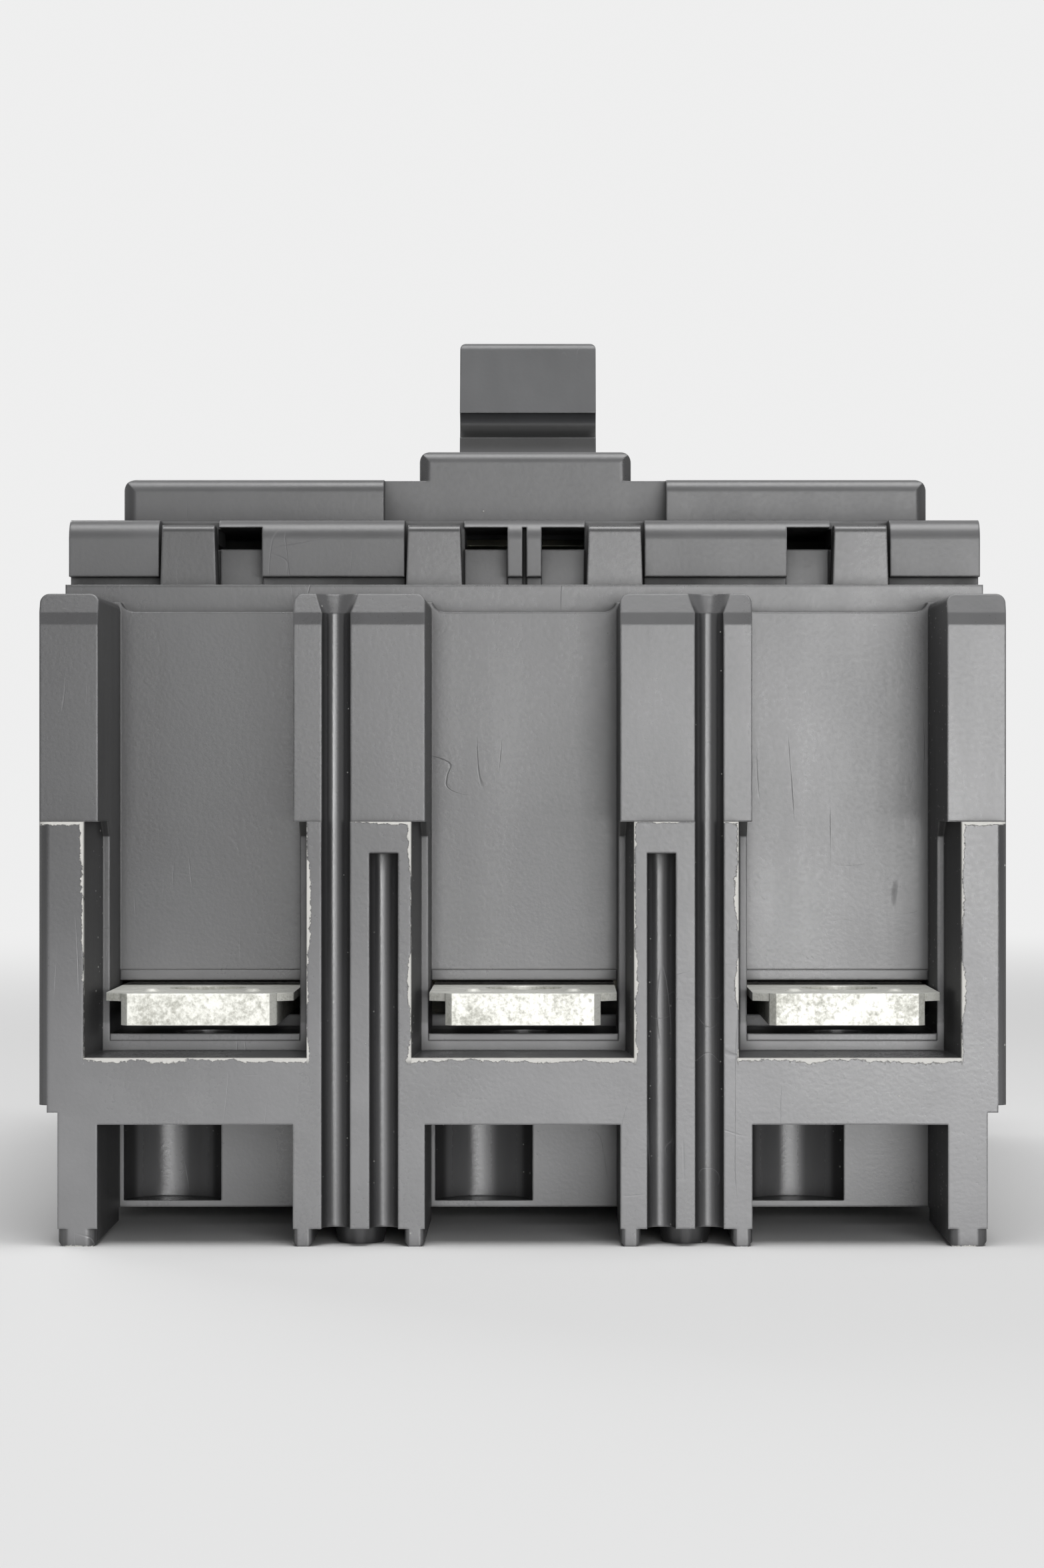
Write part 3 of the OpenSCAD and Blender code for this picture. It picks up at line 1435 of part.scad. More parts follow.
base();
cover();
handle();
handle_yoke();
spring_anchor_pin();
handle_pivot_pins();
at_pole(1) line_strap();  // line_strap_1
at_pole(2) line_strap();  // line_strap_2
at_pole(3) line_strap();  // line_strap_3
at_pole(1) load_strap();  // load_strap_1
at_pole(2) load_strap();  // load_strap_2
at_pole(3) load_strap();  // load_strap_3
line_terminal_plates();
load_terminal_plates();
stationary_contacts();
at_pole(1) arc_chute_sides();  // arc_chute_sides_1
at_pole(2) arc_chute_sides();  // arc_chute_sides_2
at_pole(3) arc_chute_sides();  // arc_chute_sides_3
at_pole(1) arc_plates();  // arc_plates_1
at_pole(2) arc_plates();  // arc_plates_2
at_pole(3) arc_plates();  // arc_plates_3
crossbar();
at_pole(1) contact_arm();  // contact_arm_1
at_pole(2) contact_arm();  // contact_arm_2
at_pole(3) contact_arm();  // contact_arm_3
moving_contacts();
at_pole(1) braid();  // braid_1
at_pole(2) braid();  // braid_2
at_pole(3) braid();  // braid_3
mirror([1, 0, 0]) mechanism_frame();  // mechanism_frame_left
mechanism_frame();  // mechanism_frame_right
frame_spacer();
frame_screws();
cradle();
cradle_pivot_pin();
cradle_link_pin();
upper_links();
lower_links();
knee_pin();
crossbar_link_pin();
operating_springs();
trip_bar();
trip_button();
trip_button_spring();
at_pole(1) heater();  // heater_1
at_pole(2) heater();  // heater_2
at_pole(3) heater();  // heater_3
at_pole(1) bimetal();  // bimetal_1
at_pole(2) bimetal();  // bimetal_2
at_pole(3) bimetal();  // bimetal_3
at_pole(1) magnet();  // magnet_1
at_pole(2) magnet();  // magnet_2
at_pole(3) magnet();  // magnet_3
at_pole(1) armature();  // armature_1
at_pole(2) armature();  // armature_2
at_pole(3) armature();  // armature_3
calibration_screws();
trip_unit_rivets();
cover_screws();
conductor_screws();
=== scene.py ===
"""Looks of a three-pole molded case circuit breaker, on its back, seen from its line end.

The frame holds every rigid piece at its real size, in metres. This script gives each piece its
finish. It adds the housing's ribs at the wells, the pieces that flex and the lettering beside
the handle, and sets the floor, the light and the camera.
"""

import json
import math

import bmesh
import bpy
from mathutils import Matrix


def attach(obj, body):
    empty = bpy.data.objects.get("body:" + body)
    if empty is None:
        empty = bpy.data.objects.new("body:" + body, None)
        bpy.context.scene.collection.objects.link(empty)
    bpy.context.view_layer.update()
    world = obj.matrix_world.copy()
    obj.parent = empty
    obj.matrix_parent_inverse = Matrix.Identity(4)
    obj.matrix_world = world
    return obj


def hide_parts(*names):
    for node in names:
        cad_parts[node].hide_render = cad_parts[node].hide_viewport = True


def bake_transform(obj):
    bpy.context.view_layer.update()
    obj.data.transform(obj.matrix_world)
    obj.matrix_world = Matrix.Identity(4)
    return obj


MM = 0.001
POLES = (1, 2, 3)

# Sizes of the breaker that the finishes, the ribs and the lettering follow, in millimetres.
HALF_LENGTH = 80.0
POLE_PITCH = 35.5
MOUTH_HALF = 12.1
TRAY_HEIGHT = 20.4
LIP_HEIGHT = 46.0
JOINT_HEIGHT = 72.9
SURROUND_TOP = 89.4
SEAT_HEIGHT = 23.7
HANDLE_UNDERCUT = (94.4, 96.9)
STRAP_HALF = 8.525
WINDOW_HALF = 10.6
STRAP_HEIGHTS = (23.7, 26.2)
WALL_DEPTHS = (53.3, 56.3)
LINTEL_HEIGHTS = (27.75, 28.95)
LIP_DEPTHS = (66.2, 67.02)
TRAY_LIP_HEIGHTS = (21.48, 22.3)
RIB_CHAMFER = 0.04
SIDE_RIB_CHAMFER = 0.2
SIDE_RIB_GAP = 0.3
WORD_HEIGHT = 5.2
LETTER_RELIEF = 0.25
LETTER_ROUNDING = 0.08
WORD_PLACES = {"ON": -29.5, "OFF": 29.5}

# The photograph's frame, and the camera that its perspective gives, in millimetres.
PHOTO_SIZE = (1568, 2354)
CAMERA_PLACE = (3.4, -530.0, 50.1)
LENS = 95.4
SENSOR = 36.0
CENTRE_OFFSET_PX = 48

# Greys and light of the room. The floor fades between two distances in millimetres.
PALE = 0.86
FLOOR_GREY = 0.80
FLOOR_FADE = (260.0, 900.0)
FLOOR_REACH = 8000.0
ROOM_LIGHT = 0.10

# Lamps: name, place, what they face, width and height in millimetres, and power in watts.
LAMPS = (
    ("front softbox", (180.0, -1120.0, 150.0), (0.0, -80.0, 45.0), 640.0, 290.0, 2.9),
    ("low softbox", (230.0, -900.0, 30.0), (0.0, -80.0, 15.0), 420.0, 46.0, 1.6),
    ("upper softbox", (200.0, -850.0, 720.0), (0.0, -40.0, 60.0), 420.0, 420.0, 0.8),
    ("top softbox", (60.0, -200.0, 950.0), (0.0, -60.0, 40.0), 600.0, 600.0, 7.0),
    ("rear softbox", (-500.0, 900.0, 500.0), (0.0, 0.0, 50.0), 600.0, 600.0, 4.0),
)

# Colours of the mouldings, of what lies on them, and of the painted shadow in the handle's undercut.
BASE_BLACK = (0.048, 0.048, 0.050)
COVER_BLACK = (0.052, 0.052, 0.054)
HANDLE_BLACK = (0.056, 0.057, 0.060)
BAR_BLACK = (0.050, 0.048, 0.046)
BUTTON_RED = (0.42, 0.030, 0.020)
BURR_WHITE = (0.62, 0.61, 0.58)
DUST_GREY = (0.50, 0.50, 0.48)
DEEP_SHADE = 0.001

# How finely corners are probed, and the width of softened edges in millimetres.
RAY_SAMPLES = 6
MOLDED_EDGE = 0.3
METAL_EDGE = 0.15

# Metals by slot: name, colour, roughness, mottling, patch size in mm, stain, stretch of streaks.
METALS = {
    "arm_copper": ("bare copper", (0.72, 0.36, 0.22), 0.36, 0.5, 5.0, (0.30, 0.14, 0.09)),
    "contact_silver": ("silver contact", (0.78, 0.76, 0.72), 0.42, 0.6, 0.9, (0.25, 0.24, 0.23)),
    "plate_steel": ("blued steel plate", (0.30, 0.31, 0.33), 0.42, 0.4, 3.0, (0.20, 0.16, 0.12)),
    "zinc_steel": ("zinc plated steel", (0.62, 0.60, 0.50), 0.36, 0.35, 3.5, (0.44, 0.40, 0.26)),
    "hard_steel": ("hardened steel", (0.48, 0.49, 0.51), 0.28, 0.3, 2.2, (0.24, 0.22, 0.20)),
    "screw_steel": ("screw steel", (0.56, 0.56, 0.53), 0.34, 0.4, 1.2, (0.30, 0.27, 0.21)),
    "spring_wire": ("spring wire", (0.60, 0.60, 0.61), 0.25, 0.25, 1.0, (0.33, 0.30, 0.26)),
    "heater_metal": ("nickel heater", (0.60, 0.55, 0.48), 0.36, 0.5, 4.0, (0.34, 0.24, 0.22)),
    "bimetal_strip": ("bimetal strip", (0.62, 0.61, 0.58), 0.30, 0.3, 2.5, (0.42, 0.34, 0.24),
                      (6.0, 1.0, 0.1)),
    "screw_brass": ("brass screw", (0.76, 0.56, 0.24), 0.30, 0.35, 1.2, (0.40, 0.26, 0.10)),
}

UNIFORM = (1.0, 1.0, 1.0)


class Value:
    """A number, colour or direction inside a finish, which Python's operators work on."""

    def __init__(self, finish, socket):
        self.finish = finish
        self.socket = socket

    def __add__(self, other):
        return self.finish.math("ADD", self, other)

    def __sub__(self, other):
        return self.finish.math("SUBTRACT", self, other)

    def __rsub__(self, other):
        return self.finish.math("SUBTRACT", other, self)

    def __mul__(self, other):
        return self.finish.math("MULTIPLY", self, other)

    def __truediv__(self, other):
        return self.finish.math("DIVIDE", self, other)

    def __abs__(self):
        return self.finish.math("ABSOLUTE", self, 0.0)

    __radd__ = __add__

    def rise(self, low, high):
        """0 below low, 1 above high, with a soft step between. It falls if low is above high."""
        settings = {"interpolation_type": "SMOOTHSTEP"}
        inputs = {"Value": self, "From Min": min(low, high), "From Max": max(low, high)}
        if low > high:
            inputs.update({"To Min": 1.0, "To Max": 0.0})
        return self.finish.node("ShaderNodeMapRange", settings, inputs)["Result"]


class Node:
    """A shader node, whose outputs are read by name."""

    def __init__(self, finish, node):
        self.finish = finish
        self.node = node

    def __getitem__(self, name):
        return Value(self.finish, self.node.outputs[name])


class Finish:
    """One material, and the words in which it is written."""

    def __init__(self, name):
        self.material = bpy.data.materials.new(name)
        self.material.use_nodes = True
        self.tree = self.material.node_tree
        self.tree.nodes.clear()

    def node(self, kind, settings=None, inputs=None):
        made = self.tree.nodes.new(kind)
        for key, setting in (settings or {}).items():
            setattr(made, key, setting)
        for key, given in (inputs or {}).items():
            if isinstance(given, Value):
                self.tree.links.new(given.socket, made.inputs[key])
            else:
                made.inputs[key].default_value = given
        return Node(self, made)

    def math(self, operation, a, b):
        return self.node("ShaderNodeMath", {"operation": operation}, {0: a, 1: b})["Value"]

    def most(self, a, b):
        return self.math("MAXIMUM", a, b)

    def place(self, stretch=UNIFORM):
        """Where a point of the piece is, in millimetres, stretched along the axes."""
        where = self.node("ShaderNodeTexCoord")["Object"]
        inputs = {0: where, 1: [1000.0 * s for s in stretch]}
        return self.node("ShaderNodeVectorMath", {"operation": "MULTIPLY"}, inputs)["Vector"]

    def axes(self):
        parts = self.node("ShaderNodeSeparateXYZ", None, {"Vector": self.place()})
        return parts["X"], parts["Y"], parts["Z"]

    def facing(self):
        """How squarely the surface faces the X, Y and Z directions, each from 0 to 1."""
        normal = self.node("ShaderNodeTexCoord")["Normal"]
        parts = self.node("ShaderNodeSeparateXYZ", None, {"Vector": normal})
        return abs(parts["X"]), abs(parts["Y"]), abs(parts["Z"])

    def cloud(self, size, detail=3.0, roughness=0.55, stretch=UNIFORM):
        """Noise from 0 to 1 whose blotches are about size millimetres across."""
        inputs = {"Vector": self.place(stretch), "Scale": 1.0 / size}
        inputs.update({"Detail": detail, "Roughness": roughness})
        return self.node("ShaderNodeTexNoise", None, inputs)["Fac"]

    def specks(self, spacing, largest, share, stretch=UNIFORM):
        """Round specks up to largest millimetres across, in that share of cells of that spacing."""
        inputs = {"Vector": self.place(stretch), "Scale": 1.0 / spacing}
        cells = self.node("ShaderNodeTexVoronoi", None, inputs)
        pick = self.node("ShaderNodeSeparateColor", None, {"Color": cells["Color"]})
        radius = pick["Green"] * (largest / 2 / spacing)
        chosen = pick["Red"].rise(1.0 - share, 1.0 - share * 0.8)
        return (cells["Distance"] / radius).rise(1.0, 0.6) * chosen

    def scratches(self, width, stretch, gate):
        """Fine lines, long where stretch is small. The larger gate is, the fewer they are."""
        line = abs(self.cloud(width * 12, 1.0, 0.3, stretch) - 0.5)
        return line.rise(0.006, 0.0) * self.cloud(14.0, 2.0).rise(gate, gate + 0.12)

    def enclosed(self, reach, settings):
        """The share of directions, from 0 to 1, that are blocked within reach millimetres."""
        settings = {"samples": RAY_SAMPLES, **settings}
        inputs = {"Distance": reach * MM}
        return 1.0 - self.node("ShaderNodeAmbientOcclusion", settings, inputs)["AO"]

    def convex(self, reach):
        """1 on outer edges and 0 on flat faces."""
        return self.enclosed(reach, {"inside": True, "only_local": True})

    def hollow(self, reach):
        """1 deep in corners and 0 on open faces."""
        return self.enclosed(reach, {})

    def blend(self, share, first, second):
        """The colour first where share is 0, and second where it is 1."""
        inputs = {0: share, 6: rgba(first), 7: rgba(second)}
        mixer = self.node("ShaderNodeMix", {"data_type": "RGBA"}, inputs)
        return Value(self, mixer.node.outputs[2])

    def relief(self, height, depth, normal=None):
        """Bump from a height of 0 to 1 that is depth millimetres deep."""
        inputs = {"Height": height, "Distance": depth * MM, "Strength": 1.0}
        if normal is not None:
            inputs["Normal"] = normal
        return self.node("ShaderNodeBump", None, inputs)["Normal"]

    def soft_edges(self, radius):
        settings = {"samples": RAY_SAMPLES}
        return self.node("ShaderNodeBevel", settings, {"Radius": radius * MM})["Normal"]

    def done(self, **surface):
        """The finished material, from the values of its surface sockets."""
        inputs = {key.replace("_", " "): given for key, given in surface.items()}
        if "Base Color" in inputs:
            inputs["Base Color"] = rgba(inputs["Base Color"])
        shader = self.node("ShaderNodeBsdfPrincipled", None, inputs)
        output = self.tree.nodes.new("ShaderNodeOutputMaterial")
        self.tree.links.new(shader.node.outputs["BSDF"], output.inputs["Surface"])
        return self.material


def rgba(colour):
    """A colour as the sockets take it. One number is a grey."""
    if isinstance(colour, Value):
        return colour
    if isinstance(colour, (int, float)):
        return (colour, colour, colour, 1.0)
    return (*colour, 1.0)


def tinted(shade, factor, lift=0.0):
    """A shade made darker or brighter by a factor, and lifted towards white."""
    return [c * factor + lift for c in shade]


# Molded parts


def from_pole_middle(f, x):
    """How far a point is from the middle of its pole."""
    from_left = f.math("FLOORED_MODULO", x + 1.5 * POLE_PITCH, POLE_PITCH)
    return abs(from_left - POLE_PITCH / 2)


def rubbed_white(f, x, y, z):
    """Where the end faces are burred white: the lips of the wells, the step and the soles."""
    face = abs(y).rise(HALF_LENGTH - 1.0, HALF_LENGTH - 0.5)
    across = from_pole_middle(f, x)
    torn = f.cloud(0.9, 5.0, 0.8) * 1.5 - 0.75
    worn = f.cloud(10.0, 2.0).rise(0.38, 0.60)
    mouth = (across - MOUTH_HALF).rise(0.05, -0.05)

    def burr(inward, width):
        """White from an edge to width millimetres inward of it."""
        return (width - inward).rise(0.0, 0.10) * inward.rise(-0.08, 0.0)

    step = burr(LIP_HEIGHT - z, torn * 0.7 + worn * 0.42 - 0.02) * (1.0 - mouth)
    sill = burr(TRAY_HEIGHT - z, torn * 0.9 + worn * 0.40 + 0.22) * mouth
    jamb = burr(across - MOUTH_HALF, torn * 0.8 + worn * 0.5 - 0.04)
    jamb = jamb * z.rise(TRAY_HEIGHT - 0.8, TRAY_HEIGHT) * z.rise(LIP_HEIGHT + 0.1, LIP_HEIGHT)
    sole = burr(z, torn * 0.7 + worn * 0.3 - 0.16)
    below = z.rise(LIP_HEIGHT + 0.05, LIP_HEIGHT)
    return f.most(f.most(step, sill), f.most(jamb, sole)) * face * below


def molded_plastic(name, shade, gloss, dust=1.0, burrs_and_painted_light=False, reach=2.6, undercut=None):
    """Glossy thermoset moulding under a film of dust, with rubbed edges and fine scratches.

    Painted shade darkens corners within reach millimetres, faces turned sideways and the flanks of
    rounded grooves. The base's lips are also burred white, its low front faces and the faces under
    the straps get painted light, and a painted shadow lies under the cover's joint. Undercut is the
    pair of heights between which a painted shadow fills the handle's groove.
    """
    f = Finish(name)
    x, y, z = f.axes()
    aside, along, upward = f.facing()
    film = f.cloud(26.0, 3.0, 0.5)
    blotch = f.cloud(6.0, 3.0, 0.5)
    flow = f.cloud(5.0, 3.0, 0.5, (1.0, 1.0, 0.10))
    grain = f.cloud(0.45, 2.0)
    walls = aside.rise(0.55, 0.9)
    rounds = aside.rise(0.06, 0.3) * aside.rise(0.995, 0.95) * upward.rise(0.5, 0.2)
    corners = f.hollow(reach).rise(0.22, 0.75)
    wall_dust = f.specks(0.7, 0.30, 0.40, (1.0, 0.45, 1.0)) * walls
    specks = f.most(wall_dust, f.specks(2.4, 0.34, 0.12)) * dust
    upright = f.scratches(0.35, (1.0, 1.0, 0.12), 0.58)
    lines = f.most(upright, f.scratches(0.3, (0.2, 1.0, 0.6), 0.62))
    patches = (film * 0.6 + blotch * 0.15 + flow * 0.3).rise(0.34, 0.74)
    body = f.blend(patches, tinted(shade, 0.82), tinted(shade, 1.3, 0.004))
    if burrs_and_painted_light:
        # Painted light: the low front faces of the base are made lighter, in place of the light that
        # the floor throws up onto them.
        low = z.rise(LIP_HEIGHT, 10.0) * along.rise(0.6, 0.9) * (0.75 + blotch * 0.5)
        body = f.blend(low * 0.85, body, tinted(shade, 2.2, 0.10))
        # Painted light: the set-back faces under each terminal strap are made lighter, in place of
        # the frontal light that the strap keeps off them.
        set_back = along.rise(0.5, 0.7) * z.rise(SEAT_HEIGHT, SEAT_HEIGHT - 0.4)
        set_back = set_back * abs(y).rise(HALF_LENGTH - 1.0, HALF_LENGTH - 2.0)
        set_back = set_back * (from_pole_middle(f, x) - MOUTH_HALF).rise(0.05, -0.05)
        body = f.blend(set_back * 0.85, body, tinted(shade, 2.2, 0.16))
        # Painted shadow: a dark line on the front faces just below the cover's joint, where the
        # cover's overhang shades them.
        joint_shadow = z.rise(JOINT_HEIGHT - 0.4, JOINT_HEIGHT - 0.2) * along
        body = f.blend(joint_shadow * 0.8, body, tinted(shade, 0.3))
    # Painted shade: faces turned sideways and the flanks of rounded grooves are darkened, where the
    # frontal light does not reach.
    body = f.blend(f.most(walls * 0.85, rounds * 0.6), body, tinted(shade, 0.2))
    # Painted shade deep in corners, where little light reaches.
    body = f.blend(corners * 0.9, body, tinted(shade, 0.12))
    if undercut:
        bottom, top = undercut
        shadow = z.rise(top + 0.5, top - 0.2) * z.rise(bottom - 2.4, bottom)
        body = f.blend(shadow, body, DEEP_SHADE)
        corners = f.most(corners, shadow)
    rubbed = f.convex(MOLDED_EDGE).rise(0.15, 0.55) * blotch.rise(0.35, 0.6)
    body = f.blend(rubbed * 0.5, body, tinted(shade, 2.5, 0.05))
    body = f.blend(specks * 0.8, body, DUST_GREY)
    body = f.blend(lines * 0.35, body, tinted(shade, 3.0, 0.06))
    rough = gloss + (film - 0.5) * 0.12 + (flow - 0.5) * 0.10 + (grain - 0.5) * 0.08
    rough = rough + specks * 0.3 + lines * 0.15
    rough = rough + walls * 0.28 - rounds * 0.10 + corners * 0.25
    height = grain * 0.22 + blotch * 0.2 + flow * 0.2 - lines * 0.35 + specks * 0.5
    if burrs_and_painted_light:
        white = rubbed_white(f, x, y, z)
        body = f.blend(white, body, BURR_WHITE)
        rough = rough + white * 0.4
        height = height + white * 2.0
    normal = f.relief(height, 0.035, f.soft_edges(MOLDED_EDGE))
    return f.done(Base_Color=body, Roughness=rough, Normal=normal, Specular_IOR_Level=0.7)


# Metals


def plated_metal(name, shade, rough, mottle, size, stain, brush=UNIFORM):
    """Plated or bare sheet metal with mottling, dull stains and fine streaks that brush draws out."""
    f = Finish(name)
    patch = f.cloud(size, 6.0, 0.7)
    wide = f.cloud(size * 6, 3.0, 0.6)
    grain = f.cloud(0.25, 2.0)
    streak = f.cloud(0.9, 3.0, 0.6, brush)
    edge = f.convex(MOLDED_EDGE)
    dull = (patch * 0.6 + wide * 0.4).rise(0.44, 0.66) * mottle
    colour = f.blend(dull, shade, stain)
    colour = f.blend((streak - 0.5).rise(0.0, 0.3) * 0.3, colour, tinted(shade, 0.75))
    bright = [min(1.0, c) for c in tinted(shade, 1.25, 0.05)]
    colour = f.blend(edge.rise(0.15, 0.6) * 0.4, colour, bright)
    height = patch * 0.6 + grain * 0.25 + streak * 0.3
    normal = f.relief(height, 0.03, f.soft_edges(METAL_EDGE))
    rough = rough + dull * 0.5 + (grain - 0.5) * 0.15
    return f.done(Base_Color=colour, Metallic=1.0 - dull * 0.35, Roughness=rough, Normal=normal)


def tin_plating(name):
    """Dull hot tin over copper: bright, speckled, and matt where dust lies on upper faces."""
    f = Finish(name)
    upward = f.facing()[2]
    speckle = f.cloud(0.55, 4.0, 0.7)
    patch = f.cloud(3.2, 5.0, 0.65)
    grain = f.cloud(0.2, 2.0)
    spots = (speckle * 0.55 + patch * 0.45).rise(0.42, 0.64)
    colour = f.blend(spots, (0.80, 0.80, 0.745), (0.50, 0.50, 0.445))
    colour = f.blend(f.specks(1.1, 0.5, 0.35) * 0.6, colour, (0.30, 0.28, 0.24))
    matt = upward * (patch.rise(0.35, 0.65) * 0.5 + 0.2)
    colour = f.blend(matt, colour, (0.62, 0.62, 0.585))
    colour = f.blend(f.convex(MOLDED_EDGE).rise(0.15, 0.6) * 0.5, colour, (0.92, 0.92, 0.88))
    height = speckle * 0.8 + patch * 0.5 + grain * 0.2
    normal = f.relief(height, 0.04, f.soft_edges(METAL_EDGE))
    metal = 0.45 - upward * 0.35 - spots * 0.15
    return f.done(Base_Color=colour, Metallic=metal, Roughness=0.48 + spots * 0.2, Normal=normal)


def woven_copper(name):
    """Flat braid of fine copper wires."""
    f = Finish(name)
    waves = []
    for lean in (1.0, -1.0):
        turned = {"Vector": f.place(), "Rotation": (0.0, 0.0, lean * math.radians(38))}
        inputs = {"Vector": f.node("ShaderNodeMapping", None, turned)["Vector"], "Scale": 0.55}
        bands = f.node("ShaderNodeTexWave", {"bands_direction": "X"}, inputs)
        waves.append(bands["Fac"])
    weave = f.most(waves[0], waves[1])
    tarnish = f.cloud(3.0, 4.0)
    colour = f.blend(tarnish.rise(0.4, 0.7), (0.66, 0.32, 0.18), (0.32, 0.15, 0.09))
    # Painted shade: the gaps between the wires are darkened.
    colour = f.blend(weave.rise(0.7, 0.2) * 0.7, colour, (0.12, 0.05, 0.03))
    rough = 0.34 + tarnish * 0.25
    return f.done(Base_Color=colour, Metallic=1.0, Roughness=rough, Normal=f.relief(weave, 0.18))


def fibre_sheet(name):
    """Vulcanised fibre, a dull layered board."""
    f = Finish(name)
    layers = f.cloud(1.6, 4.0, 0.6, (1.0, 0.25, 1.0))
    fuzz = f.cloud(0.3, 3.0)
    colour = f.blend(layers.rise(0.35, 0.65), (0.23, 0.10, 0.065), (0.36, 0.19, 0.12))
    colour = f.blend(f.convex(0.4).rise(0.15, 0.6) * 0.5, colour, (0.48, 0.30, 0.20))
    normal = f.relief(layers + fuzz * 0.5, 0.06)
    return f.done(Base_Color=colour, Roughness=0.72 + (fuzz - 0.5) * 0.2, Normal=normal)


def dress():
    """Gives every piece of the frame its finish, by the material slot that it names."""
    finishes = {
        "base_plastic": molded_plastic("dusty base moulding", BASE_BLACK, 0.29, burrs_and_painted_light=True),
        "cover_plastic": molded_plastic("cover moulding", COVER_BLACK, 0.38, reach=5.0),
        "handle_plastic": molded_plastic("handle moulding", HANDLE_BLACK, 0.40, dust=0.5,
                                         undercut=HANDLE_UNDERCUT),
        "bar_plastic": molded_plastic("crossbar moulding", BAR_BLACK, 0.5, dust=0.2),
        "button_plastic": molded_plastic("red button moulding", BUTTON_RED, 0.4, dust=0.3),
        "tin_plate": tin_plating("bright tin plating"),
        "braid_copper": woven_copper("copper braid"),
        "fibre_board": fibre_sheet("fibre board"),
    }
    finishes.update({slot: plated_metal(*metal) for slot, metal in METALS.items()})
    parts = frame["record"]["subparts"]
    slot_of = {part["node"]: part["material_slot"] for part in parts}
    for name, piece in frame["nodes"].items():
        piece.data.materials.clear()
        piece.data.materials.append(finishes[slot_of[name]])
    return finishes


# Pieces that flex


def flexing(node):
    """A copy of a braid or spring, in its place, that stands in for the frame's piece, which is
    hidden.
    """
    source = frame["nodes"][node]
    mesh = source.data.copy()
    mesh.transform(source.matrix_world)
    piece = bpy.data.objects.new("flexing_" + node, mesh)
    bpy.context.scene.collection.objects.link(piece)
    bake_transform(piece)
    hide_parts(node)


def flexing_pieces():
    """Copies of the three braids and of the trip button's spring, in place of the frame's pieces."""
    for pole in POLES:
        flexing(f"braid_{pole}")
    flexing("trip_button_spring")


# Lettering


def raised_word(name, text, height, middle, body, finish):
    """A word in raised letters on top of the cover, upright with the line end at the top."""
    letters = bpy.data.curves.new(name, "FONT")
    letters.body = text
    letters.size = height * MM
    letters.extrude = LETTER_RELIEF * MM
    letters.bevel_depth = LETTER_ROUNDING * MM
    letters.align_x = "CENTER"
    letters.align_y = "CENTER"
    piece = bpy.data.objects.new(name, letters)
    piece.location = [c * MM for c in middle]
    piece.rotation_euler = (0.0, 0.0, math.pi)
    bpy.context.scene.collection.objects.link(piece)
    piece.data.materials.append(finish)
    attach(piece, body)


# Ribs of the housing at the wells


def housing_rib(name, low, high, chamfer, finish):
    """A molded rib of the housing with chamfered edges, between two corners in millimetres."""
    form = bmesh.new()
    bmesh.ops.create_cube(form, size=1.0)
    for corner in form.verts:
        corner.co = [MM * (a + b + (b - a) * 2 * c) / 2 for a, b, c in zip(low, high, corner.co)]
    bmesh.ops.bevel(form, geom=form.edges, offset=chamfer * MM, segments=2, profile=0.5,
                    affect="EDGES")
    mesh = bpy.data.meshes.new(name)
    form.to_mesh(mesh)
    form.free()
    piece = bpy.data.objects.new(name, mesh)
    bpy.context.scene.collection.objects.link(piece)
    mesh.materials.append(finish)
    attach(piece, "housing")


def well_ribs(finish):
    """Each well's lintel close over the terminal plate, and its square lip on the tray.

    At the load end two more ribs fill the window beside the strap.
    """
    for pole in POLES:
        middle = (pole - 2) * POLE_PITCH
        for end, sign in (("line", -1), ("load", 1)):
            whole = (-WINDOW_HALF, WINDOW_HALF)
            bars = {
                "lintel": (*whole, WALL_DEPTHS, LINTEL_HEIGHTS, RIB_CHAMFER),
                "tray_lip": (*whole, LIP_DEPTHS, TRAY_LIP_HEIGHTS, RIB_CHAMFER),
            }
            if end == "load":
                beside = (WALL_DEPTHS, STRAP_HEIGHTS, SIDE_RIB_CHAMFER)
                bars["left_rib"] = (-WINDOW_HALF, -STRAP_HALF - SIDE_RIB_GAP, *beside)
                bars["right_rib"] = (STRAP_HALF + SIDE_RIB_GAP, WINDOW_HALF, *beside)
            for name, (left, right, depths, heights, chamfer) in bars.items():
                nearer, farther = sorted(sign * depth for depth in depths)
                low = (middle + left, nearer, heights[0])
                high = (middle + right, farther, heights[1])
                housing_rib(f"{end}_{name}_{pole}", low, high, chamfer, finish)


# Floor, light and camera


def pale_stage():
    """A wide pale floor that fades into an equally pale background."""
    f = Finish("pale floor")
    x, y, _ = f.axes()
    away = f.math("SQRT", x * x + y * y, 0.0).rise(*FLOOR_FADE)
    diffuse = f.node("ShaderNodeBsdfDiffuse", None, {"Color": rgba(FLOOR_GREY)})
    glow = f.node("ShaderNodeEmission", None, {"Color": rgba(PALE), "Strength": 1.0})
    path = f.node("ShaderNodeLightPath")
    seen = f.most(path["Is Camera Ray"], f.most(path["Is Glossy Ray"], path["Is Transmission Ray"]))
    mixer = f.node("ShaderNodeMixShader", None, {0: away * seen})
    f.tree.links.new(diffuse.node.outputs["BSDF"], mixer.node.inputs[1])
    f.tree.links.new(glow.node.outputs["Emission"], mixer.node.inputs[2])
    output = f.tree.nodes.new("ShaderNodeOutputMaterial")
    f.tree.links.new(mixer.node.outputs["Shader"], output.inputs["Surface"])
    reach = FLOOR_REACH * MM
    mesh = bpy.data.meshes.new("floor")
    corners = [(a * reach, b * reach, 0.0) for a, b in ((-1, -1), (1, -1), (1, 1), (-1, 1))]
    mesh.from_pydata(corners, [], [(0, 1, 2, 3)])
    floor = bpy.data.objects.new("floor", mesh)
    bpy.context.scene.collection.objects.link(floor)
    mesh.materials.append(f.material)


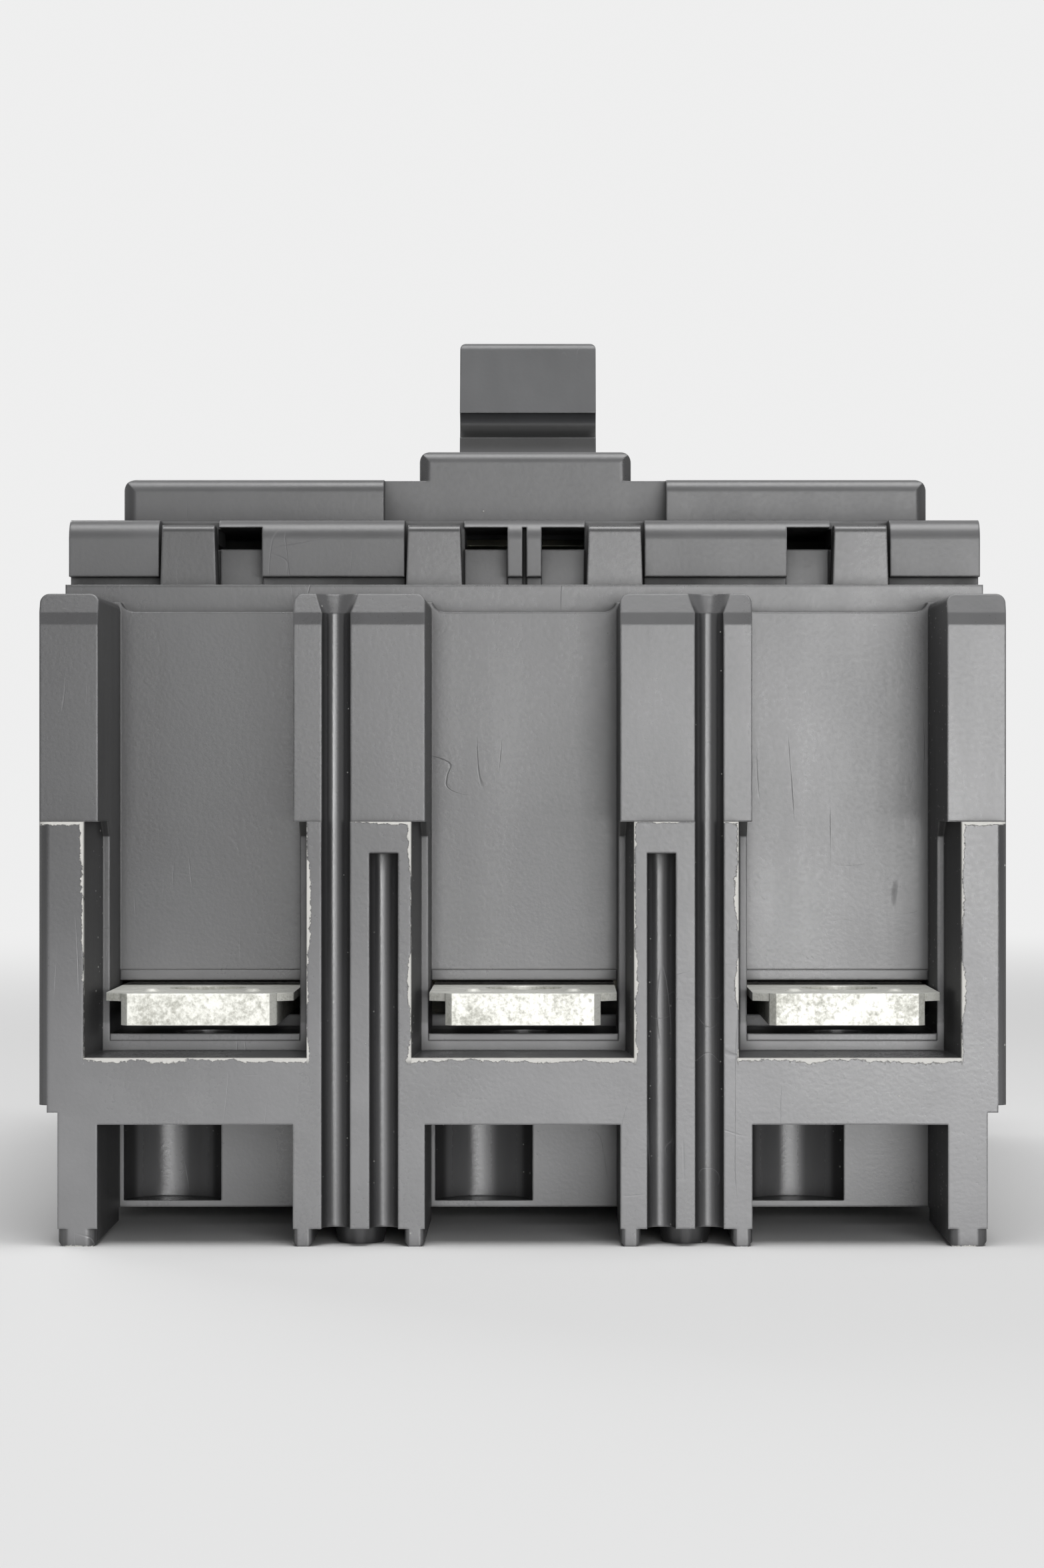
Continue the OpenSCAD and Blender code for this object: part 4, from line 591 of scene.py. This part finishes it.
def pale_world(strength):
    """Even white light from all round, and the pale background that the camera and gloss see."""
    world = bpy.data.worlds.new("pale room")
    bpy.context.scene.world = world
    world.use_nodes = True
    tree = world.node_tree
    tree.nodes.clear()
    light_path = tree.nodes.new("ShaderNodeLightPath")
    light = tree.nodes.new("ShaderNodeBackground")
    light.inputs["Color"].default_value = (1.0, 1.0, 1.0, 1.0)
    light.inputs["Strength"].default_value = strength
    backdrop = tree.nodes.new("ShaderNodeBackground")
    backdrop.inputs["Color"].default_value = rgba(PALE)
    mixer = tree.nodes.new("ShaderNodeMixShader")
    output = tree.nodes.new("ShaderNodeOutputWorld")
    seen = light_path.outputs["Is Camera Ray"]
    for kind in ("Is Glossy Ray", "Is Transmission Ray"):
        most = tree.nodes.new("ShaderNodeMath")
        most.operation = "MAXIMUM"
        tree.links.new(seen, most.inputs[0])
        tree.links.new(light_path.outputs[kind], most.inputs[1])
        seen = most.outputs[0]
    tree.links.new(seen, mixer.inputs[0])
    tree.links.new(light.outputs[0], mixer.inputs[1])
    tree.links.new(backdrop.outputs[0], mixer.inputs[2])
    tree.links.new(mixer.outputs[0], output.inputs["Surface"])


def softbox(name, place, target, width, height, power):
    """A soft lamp that faces a target. Places and sizes are in millimetres."""
    lamp = bpy.data.lights.new(name, "AREA")
    lamp.shape = "RECTANGLE"
    lamp.size = width * MM
    lamp.size_y = height * MM
    lamp.energy = power
    holder = bpy.data.objects.new(name, lamp)
    bpy.context.scene.collection.objects.link(holder)
    holder.location = [c * MM for c in place]
    aim = [(t - p) for t, p in zip(target, place)]
    across = math.hypot(aim[0], aim[1])
    turn = math.atan2(aim[1], aim[0]) - math.pi / 2
    holder.rotation_euler = (math.atan2(across, -aim[2]), 0.0, turn)


def photo_camera():
    """The camera that took the photograph, level with the middle of the line end."""
    data = bpy.data.cameras.new("photo camera")
    data.lens = LENS
    data.sensor_width = SENSOR
    data.sensor_fit = "AUTO"
    data.shift_x = -CENTRE_OFFSET_PX / max(PHOTO_SIZE)
    data.clip_start = 0.01
    camera = bpy.data.objects.new("photo camera", data)
    camera.location = [c * MM for c in CAMERA_PLACE]
    camera.rotation_euler = (math.radians(90), 0.0, 0.0)
    bpy.context.scene.collection.objects.link(camera)
    bpy.context.scene.camera = camera


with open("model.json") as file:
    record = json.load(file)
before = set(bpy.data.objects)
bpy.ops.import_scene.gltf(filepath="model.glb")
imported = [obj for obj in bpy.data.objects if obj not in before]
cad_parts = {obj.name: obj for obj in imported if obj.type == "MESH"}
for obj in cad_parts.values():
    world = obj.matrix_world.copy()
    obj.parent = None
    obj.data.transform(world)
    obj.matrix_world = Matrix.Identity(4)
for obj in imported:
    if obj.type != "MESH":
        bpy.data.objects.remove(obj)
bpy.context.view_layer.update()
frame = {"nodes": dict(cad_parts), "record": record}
bpy.context.scene.view_settings.view_transform = "Standard"

photo_camera()
finishes = dress()
for text, y in WORD_PLACES.items():
    raised_word("word_" + text.lower(), text, WORD_HEIGHT, (0.0, y, SURROUND_TOP), "housing",
                finishes["cover_plastic"])

well_ribs(finishes["base_plastic"])
flexing_pieces()

pale_stage()
pale_world(ROOM_LIGHT)
for lamp in LAMPS:
    softbox(*lamp)
